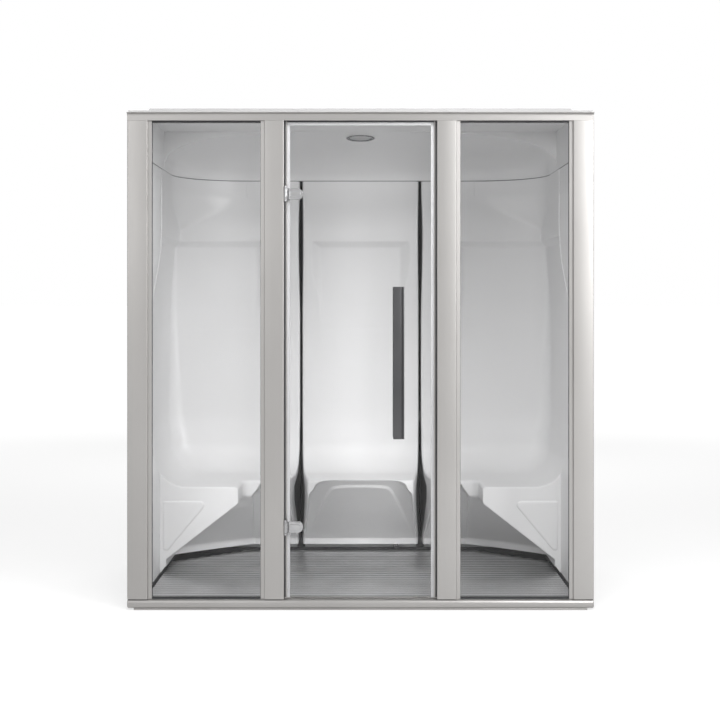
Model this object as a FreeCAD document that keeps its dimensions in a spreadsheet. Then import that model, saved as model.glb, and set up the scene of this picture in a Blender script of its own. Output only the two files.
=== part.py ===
import FreeCAD, Part
import math
import os
import re
import types
import Sketcher
from FreeCAD import Vector

# Steam cabin. +X is to the right, the front faces -Y, +Z is up.
# The origin is the centre of the footprint, on the surface that the cabin stands on.
# "Depth" in a size's name is counted from the front face of the frame towards the rear.

sizes = {
    # whole cabin
    "cabin_width": 1950, "cabin_depth": 1250, "cabin_height": 2100,
    # front frame extrusions
    "frame_depth": 60, "post_width": 86, "frame_wall": 2.5, "frame_edge": 4,
    "lip_reach": 16, "lip_gauge": 3, "channel_depth": 12, "channel_width": 14,
    "door_opening": 639, "mullion_width": 82.5, "stop_reach": 24,
    "roof_rise": 20, "header_height": 34, "header_lip": 8,
    "cornice_reach": 12, "cornice_lip": 3, "cornice_cove": 11,
    "sill_bottom": 8, "sill_top": 46, "sill_nose": 15, "sill_bulge": 4, "sill_lip": 5,
    "strip_inset": 27, "strip_depth": 45,
    # glass
    "pane_gauge": 8, "pane_bite": 12, "gasket_grip": 13,
    "door_gauge": 8, "door_depth": 16, "door_hinge_gap": 12.5, "door_latch_gap": 14.5,
    "door_foot_gap": 5, "door_head_gap": 6, "seal_gap": 0.3, "seal_width": 12,
    # hinges, in a frame at the pin
    "pin_gap": 7, "pin_ahead": 2, "pin_radius": 3, "pin_run": 0.05, "knuckle_radius": 5.8,
    "hinge_height": 46, "bracket_height": 65, "hinge_play": 0.3, "leaf_gauge": 2,
    "leaf_depth": 26, "upper_hinge_drop": 306, "lower_hinge": 346, "clamp_reach": 67,
    "clamp_gauge": 10, "inner_clamp": 6, "inner_clamp_reach": 50, "cover_rise": 1.5,
    "cover_margin": 9, "hinge_bolt": 3.5, "hinge_bolt_hole": 5, "clamp_edge": 1.2,
    # handle
    "handle_centre": 159, "handle_width": 46, "handle_gauge": 22, "handle_bottom": 718,
    "handle_top": 1351, "handle_standoff": 28, "standoff_radius": 8, "standoff_end": 70,
    "stud_radius": 4, "stud_hole": 5, "groove_width": 6, "groove_depth": 8, "fin_width": 7,
    # moulded wall and seat modules
    "module_inset": 13, "rear_space": 45, "flange_back": 7.5, "module_gauge": 6,
    "centre_width": 600, "module_joint": 0.5, "run_back": 60, "flange_width": 24,
    "flange_set": 0.5, "dome_rise": 182, "shoulder_drop": 258, "head_bulge": 52,
    "cove_reach": 15, "waist_bottom": 722, "chest_rise": 494, "top_reach": 8,
    "seam_plate": 40, "seam_plate_gauge": 3,
    "seat_height": 438, "seat_reach": 401, "seat_nose": 14, "cove_radius": 150,
    "lip_bottom": 361, "knee_radius": 20, "toe_reach": 70, "toe_top": 104,
    "toe_bottom": 74, "heel_radius": 15, "module_front": 560,
    "end_gauge": 8, "end_inset": 4, "recess_half": 200, "recess_drop": 76,
    "recess_lift": 4, "recess_set": 34, "recess_bevel": 28, "recess_rise": 20,
    "recess_depth": 12, "recess_border": 220, "recess_front": 55, "apron_inset": 3,
    "apron_top": 410, "apron_top_half": 131, "apron_foot_half": 235, "apron_foot": 150,
    "apron_round": 30, "corner_round": 340, "corner_tip": 8,
    "diagonal_reach": 445, "diagonal_run": 355, "inset_top": 375, "inset_start": 54,
    "inset_end": 262, "inset_foot": 150, "inset_round": 16, "inset_foot_reach": 26,
    # front wall liners
    "liner_gauge": 4, "liner_reach": 42, "liner_step": 517, "liner_behind": 4,
    # ceiling
    "ceiling_gauge": 4, "ceiling_side": 63, "spandrel_depth": 640, "dome_corner_count": 6,
    "seam_gauge": 3, "lamp_radius": 68, "lamp_hole": 60,
    "lamp_boss": 4, "lamp_rim": 3, "lamp_sleeve": 4, "lens_gauge": 3,
    "lens_radius": 52, "driver_length": 56, "driver_width": 34, "driver_height": 5,
    # outer skins
    "side_gauge": 5, "back_gauge": 8, "back_inset": 4, "roof_side": 93, "roof_slope": 8, "rear_post": 30, "rear_post_wall": 2,
    "rear_rail_height": 30, "skin_gap": 0.5, "panel_bottom": 8,
    # tray, grille and drain
    "tray_gauge": 4, "tray_floor": 12, "tray_rim": 46, "tray_rim_width": 52,
    "tray_front": 60.5, "tray_corner": 15, "rib_width": 20, "rib_count": 5,
    "bearer_height": 14, "bearer_width": 18, "bearer_count": 5, "slat_height": 14,
    "slat_width": 33, "slat_pitch": 41.6, "slat_chamfer": 2, "grille_gap": 72,
    "grille_turn": 358, "grille_diagonal": 377, "grille_front": 66, "grille_rear_gap": 37,
    "drain_back": 150, "drain_radius": 45, "drain_tail": 24, "drain_bore": 20,
    "drain_play": 0.3, "drain_lift": 2, "drain_lip": 4, "grate_half": 28, "grate_gauge": 2,
    "grate_slot": 5, "grate_bar": 5, "grate_count": 5,
    # steam and lamp supply
    "steam_x": 180, "steam_height": 60, "pipe_radius": 10, "pipe_wall": 1,
    "pipe_clear": 0.3, "head_radius": 14, "head_length": 46, "head_back": 20,
    "mouth_radius": 10, "gland_x": 120, "gland_drop": 60, "gland_radius": 9,
    "gland_bore": 3.5, "gland_length": 26, "gland_flange": 12, "gland_flange_gauge": 3,
    "overrun": 5,
}

lamp_set_share = 0.2832

# Sizes that follow from others
derived = {
    "header_top": "cabin_height - roof_rise",
    "header_bottom": "header_top - header_height",
    "module_depth": "cabin_depth - rear_space",
    "module_top": "header_top - dome_rise",
    "shoulder_height": "module_top - shoulder_drop",
    "waist_top": "shoulder_height - chest_rise",
    "recess_top": "shoulder_height - recess_drop",
    "recess_foot": "waist_top + recess_lift",
    "upper_hinge": "header_bottom - upper_hinge_drop",
    "ceiling_flat": "header_top",
    "ceiling_half": "cabin_width / 2 - ceiling_side",
    "lamp_depth": "spandrel_depth + %s * (module_depth - spandrel_depth)" % lamp_set_share,
    "roof_half": "cabin_width / 2 - roof_side",
    "diagonal_back": "cabin_width / 2 - diagonal_reach",
    "diagonal_side": "module_depth - diagonal_run",
    "grille_half": "cabin_width / 2 - grille_gap",
    "grille_back_half": "grille_half - grille_diagonal",
    "grille_side": "module_depth - grille_turn",
    "grille_back": "module_depth - grille_rear_gap",
    "gland_height": "header_top - gland_drop",
}

# Shares above the shoulder: height, and growth of the rounded corner.
shoulder_shares = [(0, 0), (0.25, 0.4), (0.5, 0.85), (0.75, 1), (1, 1)]
# Shares up the dome: height, half width, depth behind the spandrel.
dome_height_shares = [0, 0.2, 0.4, 0.58, 0.73, 0.85, 0.94, 0.985]
dome_width_power_share = 3
dome_depth_power_share = 2
seam_draft_share = 0.1

doc = FreeCAD.newDocument("steam_cabin")
sheet = doc.addObject("Spreadsheet::Sheet", "Sizes")
entries = list(sizes.items()) + [(name, "=" + text) for name, text in derived.items()]
for row, (name, value) in enumerate(entries, 1):
    sheet.set("A%d" % row, name)
    sheet.set("B%d" % row, str(value))
    sheet.setAlias("B%d" % row, name)
doc.recompute()

m = types.SimpleNamespace(**{name: float(sheet.get(name)) for name, value in entries})
pieces = []


def cells(text):
    """An expression on the sheet, from one written with bare size names."""
    return re.sub(r"\b[a-z]\w*\b", lambda word: "Sizes." + word.group(), text)


def value_of(text):
    """What an expression written with bare size names comes to now."""
    return float(sheet.evalExpression(cells(text)))


def place(piece, corner):
    """Bind a piece's place to the sheet."""
    for axis, text in zip("xyz", corner):
        piece.setExpression("Placement.Base." + axis, cells(text))


def box(label, size, corner, keep=True):
    """A rectangular piece: three sizes and its lowest corner."""
    piece = doc.addObject("Part::Box", label)
    piece.Label = label
    for side, text in zip(("Length", "Width", "Height"), size):
        piece.setExpression(side, cells(text))
    place(piece, corner)
    if keep:
        pieces.append(piece)
    return piece


def cut(label, base, tool):
    """One piece less another."""
    piece = doc.addObject("Part::Cut", label)
    piece.Label = label
    piece.Base = base
    piece.Tool = tool
    pieces.append(piece)
    return piece


def solid_piece(label, shape):
    """A piece whose shape is worked out below."""
    piece = doc.addObject("Part::Feature", label)
    piece.Label = label
    piece.Shape = shape
    piece.Placement = shape.Placement
    pieces.append(piece)
    return piece


def outline(sketch, points):
    """A closed outline whose corners are bound to the sheet."""
    first = sketch.GeometryCount
    spots = [Vector(value_of(across), value_of(along), 0) for across, along in points]
    count = len(spots)
    for number in range(count):
        line = Part.LineSegment(spots[number], spots[(number + 1) % count])
        sketch.addGeometry(line, False)
    for number in range(count):
        after = first + (number + 1) % count
        sketch.addConstraint(Sketcher.Constraint("Coincident", first + number, 2, after, 1))
    for number, (corner, spot) in enumerate(zip(points, spots)):
        for kind, text, size, axis in (("DistanceX", corner[0], spot.x, -2),
                                       ("DistanceY", corner[1], spot.y, -1)):
            line = first + number
            if text == "0":
                sketch.addConstraint(Sketcher.Constraint("PointOnObject", line, 1, axis))
                continue
            spot_number = sketch.addConstraint(Sketcher.Constraint(kind, -1, 1, line, 1, size))
            sketch.setExpression("Constraints[%d]" % spot_number, cells(text))


def padded(label, plane, outlines, length, corner, keep=True):
    """A body made by padding closed outlines on one of its origin planes."""
    body = doc.addObject("PartDesign::Body", label)
    body.Label = label
    sketch = body.newObject("Sketcher::SketchObject", label + "_outline")
    support = [item for item in body.Origin.OriginFeatures if item.Role == plane][0]
    sketch.AttachmentSupport = (support, "")
    sketch.MapMode = "FlatFace"
    for points in outlines:
        outline(sketch, points)
    pad = body.newObject("PartDesign::Pad", label + "_pad")
    pad.Profile = sketch
    pad.setExpression("Length", cells(length))
    pad.Reversed = plane == "XZ_Plane"
    place(body, corner)
    doc.recompute()
    if keep:
        pieces.append(body)
    return body


def rounded(body, radius, wanted):
    """Round the edges of a body that the test picks by their middle point."""
    doc.recompute()
    tip = body.Tip
    names = []
    for number, edge in enumerate(tip.Shape.Edges, 1):
        middle = edge.valueAt((edge.FirstParameter + edge.LastParameter) / 2)
        if wanted(middle, edge):
            names.append("Edge%d" % number)
    fillet = body.newObject("PartDesign::Fillet", body.Label + "_round")
    fillet.Base = (tip, names)
    fillet.setExpression("Radius", cells(radius))
    body.Tip = fillet
    doc.recompute()


def close_to(first, second):
    """Whether two lengths are the same."""
    return abs(first - second) < 0.001


# Places that several pieces share
front = "-cabin_depth / 2"
half = "cabin_width / 2"
front_y = -m.cabin_depth / 2
half_x = m.cabin_width / 2
post_inner = half_x - m.post_width
opening_half = m.door_opening / 2
mullion_outer = opening_half + m.mullion_width
channel_end = m.channel_depth + m.lip_gauge + m.channel_width
wall_x = half_x - m.module_inset
rear_y = front_y + m.module_depth
centre_half = m.centre_width / 2
pane_depth = "channel_depth + lip_gauge + (channel_width - pane_gauge) / 2"
channel_back = "channel_depth + lip_gauge + channel_width"


def post_section(side):
    """Plan section of a corner post: a tube with two lips that hold the pane."""
    def across(text):
        return text if side > 0 else "-(" + text + ")"
    inner = "-post_width"
    lip = "-post_width - lip_reach"
    corners = [("0", "0"), ("0", "frame_depth"), (inner, "frame_depth"),
               (inner, channel_back + " + lip_gauge"), (lip, channel_back + " + lip_gauge"),
               (lip, channel_back), (inner, channel_back),
               (inner, "channel_depth + lip_gauge"), (lip, "channel_depth + lip_gauge"),
               (lip, "channel_depth"), (inner, "channel_depth"), (inner, "0")]
    hollow = [("-frame_wall", "frame_wall"), ("-frame_wall", "frame_depth - frame_wall"),
              ("frame_wall - post_width", "frame_depth - frame_wall"),
              ("frame_wall - post_width", "frame_wall")]
    return [[(across(x) if x != "0" else x, y) for x, y in loop] for loop in (corners, hollow)]


def corner_posts():
    """The two hollow corner posts of the front frame."""
    for name, side in (("left_post", -1), ("right_post", 1)):
        base = half if side > 0 else "-" + half
        body = padded(name, "XY_Plane", post_section(side), "header_bottom - sill_top",
                      (base, front, "sill_top"))
        rounded(body, "frame_edge", lambda spot, edge: close_to(spot.y, 0)
                and (close_to(spot.x, 0) or close_to(abs(spot.x), m.post_width)))


def mullion_section(side):
    """Plan section of a mullion: pane channel outwards, door stop inwards."""
    def across(text):
        return text if side > 0 else "-(" + text + ")"
    outer = "mullion_width"
    lip = "mullion_width + lip_reach"
    stop = "-stop_reach"
    corners = [("0", "0"), (outer, "0"), (outer, "channel_depth"), (lip, "channel_depth"),
               (lip, "channel_depth + lip_gauge"), (outer, "channel_depth + lip_gauge"),
               (outer, channel_back), (lip, channel_back),
               (lip, channel_back + " + lip_gauge"), (outer, channel_back + " + lip_gauge"),
               (outer, "frame_depth"), ("0", "frame_depth"),
               ("0", channel_back + " + lip_gauge"), (stop, channel_back + " + lip_gauge"),
               (stop, channel_back), ("0", channel_back)]
    hollow = [("frame_wall", "frame_wall"), ("mullion_width - frame_wall", "frame_wall"),
              ("mullion_width - frame_wall", "frame_depth - frame_wall"),
              ("frame_wall", "frame_depth - frame_wall")]
    return [[(across(x) if x != "0" else x, y) for x, y in loop] for loop in (corners, hollow)]


def mullions():
    """The two hollow mullions beside the door."""
    for name, side in (("left_mullion", -1), ("right_mullion", 1)):
        base = "door_opening / 2" if side > 0 else "-door_opening / 2"
        body = padded(name, "XY_Plane", mullion_section(side), "header_bottom - sill_top",
                      (base, front, "sill_top"))
        rounded(body, "frame_edge", lambda spot, edge: close_to(spot.y, 0)
                and (close_to(spot.x, 0) or close_to(abs(spot.x), m.mullion_width)))


def header():
    """Header with a cornice cove in front and the pane channel below."""
    high = "header_top - header_bottom"
    corners = [("0", "0"), ("0", high + " - cornice_lip"), ("-cornice_reach", high + " - cornice_lip"),
               ("-cornice_reach", high), ("frame_depth", high), ("frame_depth", "0"),
               (channel_back + " + lip_gauge", "0"), (channel_back + " + lip_gauge", "-header_lip"),
               (channel_back, "-header_lip"), (channel_back, "0")]
    hollow = [("frame_wall", "frame_wall"), ("frame_depth - frame_wall", "frame_wall"),
              ("frame_depth - frame_wall", high + " - frame_wall"),
              ("frame_wall", high + " - frame_wall")]
    body = padded("header_extrusion", "YZ_Plane", [corners, hollow], "cabin_width",
                  ("-" + half, front, "header_bottom"), keep=False)
    cove = m.header_top - m.header_bottom - m.cornice_lip
    rounded(body, "cornice_cove", lambda spot, edge: close_to(spot.y, 0) and close_to(spot.z, cove))
    relief(body, "header_cornice")


def relief(body, label):
    """Cut the stop lip away from a header or sill where posts and mullions stand."""
    low, high = (m.header_bottom - m.header_lip, m.header_bottom)
    if label == "sill_rail":
        low, high = (m.sill_top, m.sill_top + m.sill_lip)
    tools = []
    for side in (-1, 1):
        for inner, outer in ((opening_half - m.stop_reach, mullion_outer + m.lip_reach),
                             (post_inner - m.lip_reach, half_x)):
            start = inner if side > 0 else -outer
            tools.append(Part.makeBox(outer - inner, m.frame_depth, high - low,
                                      Vector(start, front_y, low)))
    block = doc.addObject("Part::Feature", label + "_relief")
    block.Shape = Part.makeCompound(tools)
    block.Placement = FreeCAD.Placement()
    cut(label, body, block)


def sill():
    """Bullnose sill with a stop lip behind the panes."""
    high = "sill_top - sill_bottom"
    corners = [("-sill_bulge", "0"), ("-sill_bulge", high), (channel_back, high),
               (channel_back, high + " + sill_lip"),
               (channel_back + " + lip_gauge", high + " + sill_lip"),
               (channel_back + " + lip_gauge", high), ("frame_depth", high), ("frame_depth", "0")]
    hollow = [("sill_nose", "frame_wall"), ("frame_depth - frame_wall", "frame_wall"),
              ("frame_depth - frame_wall", high + " - frame_wall"),
              ("sill_nose", high + " - frame_wall")]
    body = padded("sill_extrusion", "YZ_Plane", [corners, hollow], "cabin_width",
                  ("-" + half, front, "sill_bottom"), keep=False)
    rounded(body, "sill_nose", lambda spot, edge: close_to(spot.y, -m.sill_bulge)
            and edge.Length > half_x)
    relief(body, "sill_rail")


def levelling_strip():
    """Strip under the sill that the front of the cabin stands on."""
    box("levelling_strip", ("cabin_width - 2 * strip_inset", "strip_depth", "sill_bottom"),
        ("strip_inset - " + half, front + " + sill_bulge", "0"))


def side_panes():
    """Fixed panes and the gaskets that hold their edges."""
    width = half + " - post_width - door_opening / 2 - mullion_width - 2 * lip_reach + 2 * pane_bite"
    height = "header_bottom - sill_top"
    for side_name, side in (("left", -1), ("right", 1)):
        left_edge = "door_opening / 2 + mullion_width + lip_reach - pane_bite"
        if side < 0:
            left_edge = "post_width + lip_reach - pane_bite - " + half
        spot = (left_edge, front + " + " + pane_depth, "sill_top")
        box(side_name + "_side_glass", (width, "pane_gauge", height), spot)
        slot = box(side_name + "_gasket_slot", (width, "pane_gauge", height), spot, keep=False)
        block = box(side_name + "_gasket_block", (width, "channel_width", height),
                    (left_edge, front + " + channel_depth + lip_gauge", "sill_top"), keep=False)
        light = box(side_name + "_gasket_light",
                    (width + " - 2 * gasket_grip", "channel_width + 2 * overrun",
                     height + " - gasket_grip"),
                    (left_edge + " + gasket_grip", front + " + channel_depth - overrun",
                     "sill_top + gasket_grip / 2"),
                    keep=False)
        void = doc.addObject("Part::Fuse", side_name + "_gasket_void")
        void.Base = slot
        void.Tool = light
        cut(side_name + "_glazing_gasket", block, void)


def door_seals():
    """Soft seals on the stop that the shut door rests against."""
    depth = front + " + door_depth + door_gauge + seal_gap"
    gauge = channel_back + " - door_depth - door_gauge - seal_gap"
    low = "sill_top + sill_lip"
    high = "header_bottom - header_lip - " + low.replace("+", "-")
    reach = "door_opening / 2 - stop_reach"
    box("hinge_side_seal", ("seal_width", gauge, high), ("-(" + reach + ") - seal_width", depth, low))
    box("latch_side_seal", ("seal_width", gauge, high), (reach, depth, low))
    box("head_seal", ("2 * (" + reach + ") + 2 * seal_width", gauge, "header_lip"),
        ("-(" + reach + ") - seal_width", depth, "header_bottom - header_lip"))


def door_x():
    """The left and right edges of the door glass."""
    return -opening_half + m.door_hinge_gap, opening_half - m.door_latch_gap


def door_glass():
    """The door, with holes for the hinge bolts and handle studs."""
    width = "door_opening - door_hinge_gap - door_latch_gap"
    height = "header_bottom - sill_top - door_head_gap - door_foot_gap"
    pane = box("door_pane", (width, "door_gauge", height),
               ("door_hinge_gap - door_opening / 2", front + " + door_depth",
                "sill_top + door_foot_gap"), keep=False)
    holes = [Part.makeCylinder(m.hinge_bolt_hole, m.door_gauge + 2 * m.overrun,
                               Vector(x, front_y + m.door_depth - m.overrun, z), Vector(0, 1, 0))
             for x, z in hinge_bolt_spots()]
    holes += [Part.makeCylinder(m.stud_hole, m.door_gauge + 2 * m.overrun,
                                Vector(m.handle_centre, front_y + m.door_depth - m.overrun, z),
                                Vector(0, 1, 0)) for z in stud_heights()]
    drill = doc.addObject("Part::Feature", "door_holes")
    drill.Shape = Part.makeCompound(holes)
    drill.Placement = FreeCAD.Placement()
    cut("door_glass", pane, drill)


def hinge_bolt_spots():
    """Where the clamp bolts pass through the glass."""
    left = door_x()[0]
    return [(left + m.clamp_reach - m.hinge_height / 2, height)
            for height in (m.upper_hinge, m.lower_hinge)]


def stud_heights():
    """Heights of the two handle studs."""
    return m.handle_bottom + m.standoff_end, m.handle_top - m.standoff_end


def pin_place():
    """The hinge axis in plan."""
    return -opening_half + m.pin_gap, front_y - m.pin_ahead


def hinge_bracket(height):
    """Fixed leaf on the mullion with an upper and a lower knuckle."""
    pin_x, pin_y = pin_place()
    low = height - m.bracket_height / 2
    leaf = Part.makeBox(m.leaf_gauge, m.leaf_depth, m.bracket_height,
                        Vector(-opening_half, pin_y, low))
    knuckle = (m.bracket_height - m.hinge_height) / 2 - m.hinge_play
    shape = leaf
    for start in (low, height + m.bracket_height / 2 - knuckle):
        shape = shape.fuse(Part.makeCylinder(m.knuckle_radius, knuckle, Vector(pin_x, pin_y, start)))
    middle = Part.makeCylinder(m.knuckle_radius + m.hinge_play, m.bracket_height - 2 * knuckle,
                               Vector(pin_x, pin_y, low + knuckle))
    bore = Part.makeCylinder(m.pin_radius, m.bracket_height, Vector(pin_x, pin_y, low))
    return shape.cut(middle).cut(bore).removeSplitter()


def stadium(left, reach, height, gauge, depth):
    """A plate with a rounded right end, in front or behind the glass."""
    radius = height / 2
    spots = [Vector(left, 0, -radius), Vector(left + reach - radius, 0, -radius),
             Vector(left + reach, 0, 0), Vector(left + reach - radius, 0, radius),
             Vector(left, 0, radius)]
    wire = Part.Wire([Part.LineSegment(spots[0], spots[1]).toShape(),
                      Part.Arc(spots[1], spots[2], spots[3]).toShape(),
                      Part.LineSegment(spots[3], spots[4]).toShape(),
                      Part.LineSegment(spots[4], spots[0]).toShape()])
    plate = Part.Face(wire).extrude(Vector(0, gauge, 0))
    plate.translate(Vector(0, depth, 0))
    return plate


def hinge_clamp(height):
    """Moving clamp: knuckle, arm, stadium plate and its raised oval cover."""
    pin_x, pin_y = pin_place()
    left = door_x()[0]
    half_height = m.hinge_height / 2
    plate_front = front_y + m.door_depth - m.clamp_gauge
    plate = stadium(left, m.clamp_reach, m.hinge_height, m.clamp_gauge, plate_front)
    rim = [edge for edge in plate.Edges if all(close_to(v.Y, plate_front) for v in edge.Vertexes)]
    plate = plate.makeChamfer(m.clamp_edge, rim)
    cover = stadium(left + m.cover_margin, m.clamp_reach - 2 * m.cover_margin,
                    m.hinge_height - 2 * m.cover_margin, m.cover_rise + m.clamp_edge,
                    plate_front - m.cover_rise)
    knuckle = Part.makeCylinder(m.knuckle_radius, m.hinge_height, Vector(pin_x, pin_y, -half_height))
    arm = Part.makeBox(left - pin_x + m.overrun, plate_front + m.clamp_gauge / 2 - pin_y,
                       m.hinge_height, Vector(pin_x, pin_y, -half_height))
    bore = Part.makeCylinder(m.pin_radius + m.pin_run, m.hinge_height,
                             Vector(pin_x, pin_y, -half_height))
    bolt = Part.makeCylinder(m.hinge_bolt, m.clamp_gauge,
                             Vector(left + m.clamp_reach - half_height, plate_front + m.cover_rise, 0),
                             Vector(0, 1, 0))
    shape = plate.fuse([cover, knuckle, arm]).cut(bore).cut(bolt).removeSplitter()
    shape.translate(Vector(0, 0, height))
    return shape


def inner_clamp(height):
    """Plate on the room side of the glass, drilled for the bolt."""
    left = door_x()[0] + m.clamp_reach - m.inner_clamp_reach
    back = front_y + m.door_depth + m.door_gauge
    plate = stadium(left, m.inner_clamp_reach, m.hinge_height, m.inner_clamp, back)
    rim = [edge for edge in plate.Edges
           if all(close_to(v.Y, back + m.inner_clamp) for v in edge.Vertexes)]
    plate = plate.makeChamfer(m.clamp_edge, rim)
    bolt_x = left + m.inner_clamp_reach - m.hinge_height / 2
    hole = Part.makeCylinder(m.hinge_bolt, m.inner_clamp, Vector(bolt_x, back, 0), Vector(0, 1, 0))
    shape = plate.cut(hole)
    shape.translate(Vector(0, 0, height))
    return shape


def hinges():
    """Both hinges with their pins and clamp bolts."""
    pin_x, pin_y = pin_place()
    pins = []
    bolts = []
    brackets = []
    clamps = []
    plates = []
    bolt_start = front_y + m.door_depth - m.clamp_gauge + m.cover_rise
    bolt_end = front_y + m.door_depth + m.door_gauge + m.inner_clamp
    for height in (m.upper_hinge, m.lower_hinge):
        brackets.append(hinge_bracket(height))
        clamps.append(hinge_clamp(height))
        plates.append(inner_clamp(height))
        pins.append(Part.makeCylinder(m.pin_radius, m.bracket_height,
                                      Vector(pin_x, pin_y, height - m.bracket_height / 2)))
    for x, z in hinge_bolt_spots():
        bolts.append(Part.makeCylinder(m.hinge_bolt, bolt_end - bolt_start,
                                       Vector(x, bolt_start, z), Vector(0, 1, 0)))
    solid_piece("hinge_brackets", Part.makeCompound(brackets))
    solid_piece("hinge_clamps", Part.makeCompound(clamps))
    solid_piece("inner_clamps", Part.makeCompound(plates))
    solid_piece("hinge_pins", Part.makeCompound(pins))
    solid_piece("clamp_bolts", Part.makeCompound(bolts))


def handle_bar(face):
    """Grooved handle extrusion with its two standoffs, outside (-1) or inside (1)."""
    glass = front_y + m.door_depth + (m.door_gauge if face > 0 else 0)
    near = glass + face * m.handle_standoff
    far = near + face * m.handle_gauge
    left = m.handle_centre - m.handle_width / 2
    right = m.handle_centre + m.handle_width / 2
    groove = right - m.fin_width - m.groove_width
    spots = [(left, near), (right, near), (right, far), (right - m.fin_width, far),
             (right - m.fin_width, far - face * m.groove_depth), (groove, far - face * m.groove_depth),
             (groove, far), (left, far)]
    corners = [Vector(x, y, m.handle_bottom) for x, y in spots]
    bar = Part.Face(Part.makePolygon(corners + corners[:1])).extrude(
        Vector(0, 0, m.handle_top - m.handle_bottom))
    outer = [edge for edge in bar.Edges if edge.Length > m.handle_width * 2
             and (close_to(edge.Vertexes[0].X, left) or close_to(edge.Vertexes[0].X, right))]
    bar = bar.makeChamfer(m.clamp_edge, outer)
    for height in stud_heights():
        post = Part.makeCylinder(m.standoff_radius, m.handle_standoff,
                                 Vector(m.handle_centre, glass, height), Vector(0, face, 0))
        hole = Part.makeCylinder(m.stud_radius, m.handle_standoff,
                                 Vector(m.handle_centre, glass, height), Vector(0, face, 0))
        bar = bar.fuse(post).cut(hole)
    return bar.removeSplitter()


def handles():
    """The handle outside, its twin inside and the studs between them."""
    solid_piece("outer_handle", handle_bar(-1))
    solid_piece("inner_handle", handle_bar(1))
    start = front_y + m.door_depth - m.handle_standoff
    studs = [Part.makeCylinder(m.stud_radius, 2 * m.handle_standoff + m.door_gauge,
                               Vector(m.handle_centre, start, height), Vector(0, 1, 0))
             for height in stud_heights()]
    solid_piece("handle_studs", Part.makeCompound(studs))


def arc(start, middle, end):
    """An arc through three points."""
    return Part.Arc(start, middle, end).toShape()


def line(start, end):
    """A straight edge."""
    return Part.LineSegment(start, end).toShape()


def corner_arc(before, corner, after, radius):
    """The tangent arc that rounds a corner: its start, middle and end."""
    first = (before - corner).normalize()
    second = (after - corner).normalize()
    turn = math.acos(max(-1.0, min(1.0, first.dot(second))))
    run = radius / math.tan(turn / 2)
    middle_way = (first + second).normalize()
    distance = radius / math.sin(turn / 2) - radius
    return corner + first * run, corner + middle_way * distance, corner + second * run


def upright_bend(start, end):
    """Two tangent arcs that shift an upright line sideways."""
    run = end.x - start.x
    rise = end.z - start.z
    lean = math.atan2(run, rise)
    radius = math.hypot(run, rise) / (4 * math.sin(lean))
    step = Vector(radius * (1 - math.cos(lean)), 0, radius * math.sin(lean))
    middle = (start + end) * 0.5
    return [arc(start, start + step, middle), arc(middle, end - step, end)]


def backrest_edges(behind, above):
    """The curved backrest, from the seat cove up; behind sets it back from the visible face."""
    foot = Vector(m.cove_reach - behind, 0, m.seat_height + m.cove_radius)
    waist_low = Vector(-behind, 0, m.waist_bottom)
    waist_high = Vector(-behind, 0, m.waist_top)
    shoulder = Vector(m.head_bulge - behind, 0, m.shoulder_height)
    edges = upright_bend(foot, waist_low) + [line(waist_low, waist_high)]
    edges += upright_bend(waist_high, shoulder)
    if above == "curved":
        top = Vector(m.top_reach - behind, 0, m.module_top)
        return edges + upright_bend(shoulder, top), foot, top
    if above == "straight":
        top = Vector(m.head_bulge - behind, 0, m.module_top)
        return edges + [line(shoulder, top)], foot, top
    return edges, foot, shoulder


def seat_edges(behind):
    """Cove, seat, nose, apron and toe band, from the backrest down."""
    cove_x = m.cove_reach + m.cove_radius
    seat = m.seat_height - behind
    cove = m.cove_radius + behind
    slant = math.hypot(m.seat_reach - m.toe_reach, m.lip_bottom - m.toe_top)
    rate = (m.lip_bottom - m.toe_top) / (m.seat_reach - m.toe_reach)
    lift = behind * slant / (m.seat_reach - m.toe_reach)
    lip = m.seat_reach - behind
    toe = m.toe_reach - behind
    lip_z = m.lip_bottom - behind * rate + lift
    toe_z = m.toe_top - behind * rate + lift
    centre = Vector(cove_x, 0, m.seat_height + m.cove_radius)
    start = centre - Vector(cove, 0, 0)
    swing = centre - Vector(cove * math.cos(math.pi / 4), 0, cove * math.sin(math.pi / 4))
    flat = Vector(cove_x, 0, seat)
    front_top = Vector(lip, 0, seat)
    front_low = Vector(lip, 0, lip_z)
    toe_high = Vector(toe, 0, toe_z)
    toe_low = Vector(toe, 0, m.toe_bottom)
    nose = corner_arc(flat, front_top, front_low, m.seat_nose - behind)
    knee = corner_arc(front_top, front_low, toe_high, m.knee_radius - behind)
    heel = corner_arc(front_low, toe_high, toe_low, m.heel_radius + behind)
    return [arc(start, swing, flat), line(flat, nose[0]), arc(*nose), line(nose[2], knee[0]),
            arc(*knee), line(knee[2], heel[0]), arc(*heel), line(heel[2], toe_low)], toe_low


def seam_wedge(edge_y, way):
    """Everything past a seam's drafted plane."""
    far = m.seat_reach + m.overrun
    draft = seam_draft_share * (far + m.run_back)
    near = -m.run_back - m.overrun
    spots = [Vector(near, edge_y - way * seam_draft_share * m.overrun, 0),
             Vector(far, edge_y + way * draft, 0), Vector(far, edge_y - way * draft, 0),
             Vector(near, edge_y - way * draft, 0)]
    return Part.Face(Part.makePolygon(spots + spots[:1])).extrude(Vector(0, 0, m.cabin_height))


def thick_run(behind, length, above, start_seam, end_seam):
    """Everything behind the moulded face along one wall, drafted at the seams."""
    curve, foot, top = backrest_edges(behind, above)
    edges, toe_low = seat_edges(behind)
    back_top = Vector(-m.run_back, 0, top.z)
    back_low = Vector(-m.run_back, 0, m.toe_bottom)
    wire = Part.Wire(curve[::-1] + edges + [line(toe_low, back_low), line(back_low, back_top),
                                            line(back_top, top)])
    solid = Part.Face(wire).extrude(Vector(0, length, 0))
    if start_seam:
        solid = solid.cut(seam_wedge(behind, 1))
    if end_seam:
        solid = solid.cut(seam_wedge(length - behind, -1))
    return solid


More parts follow.
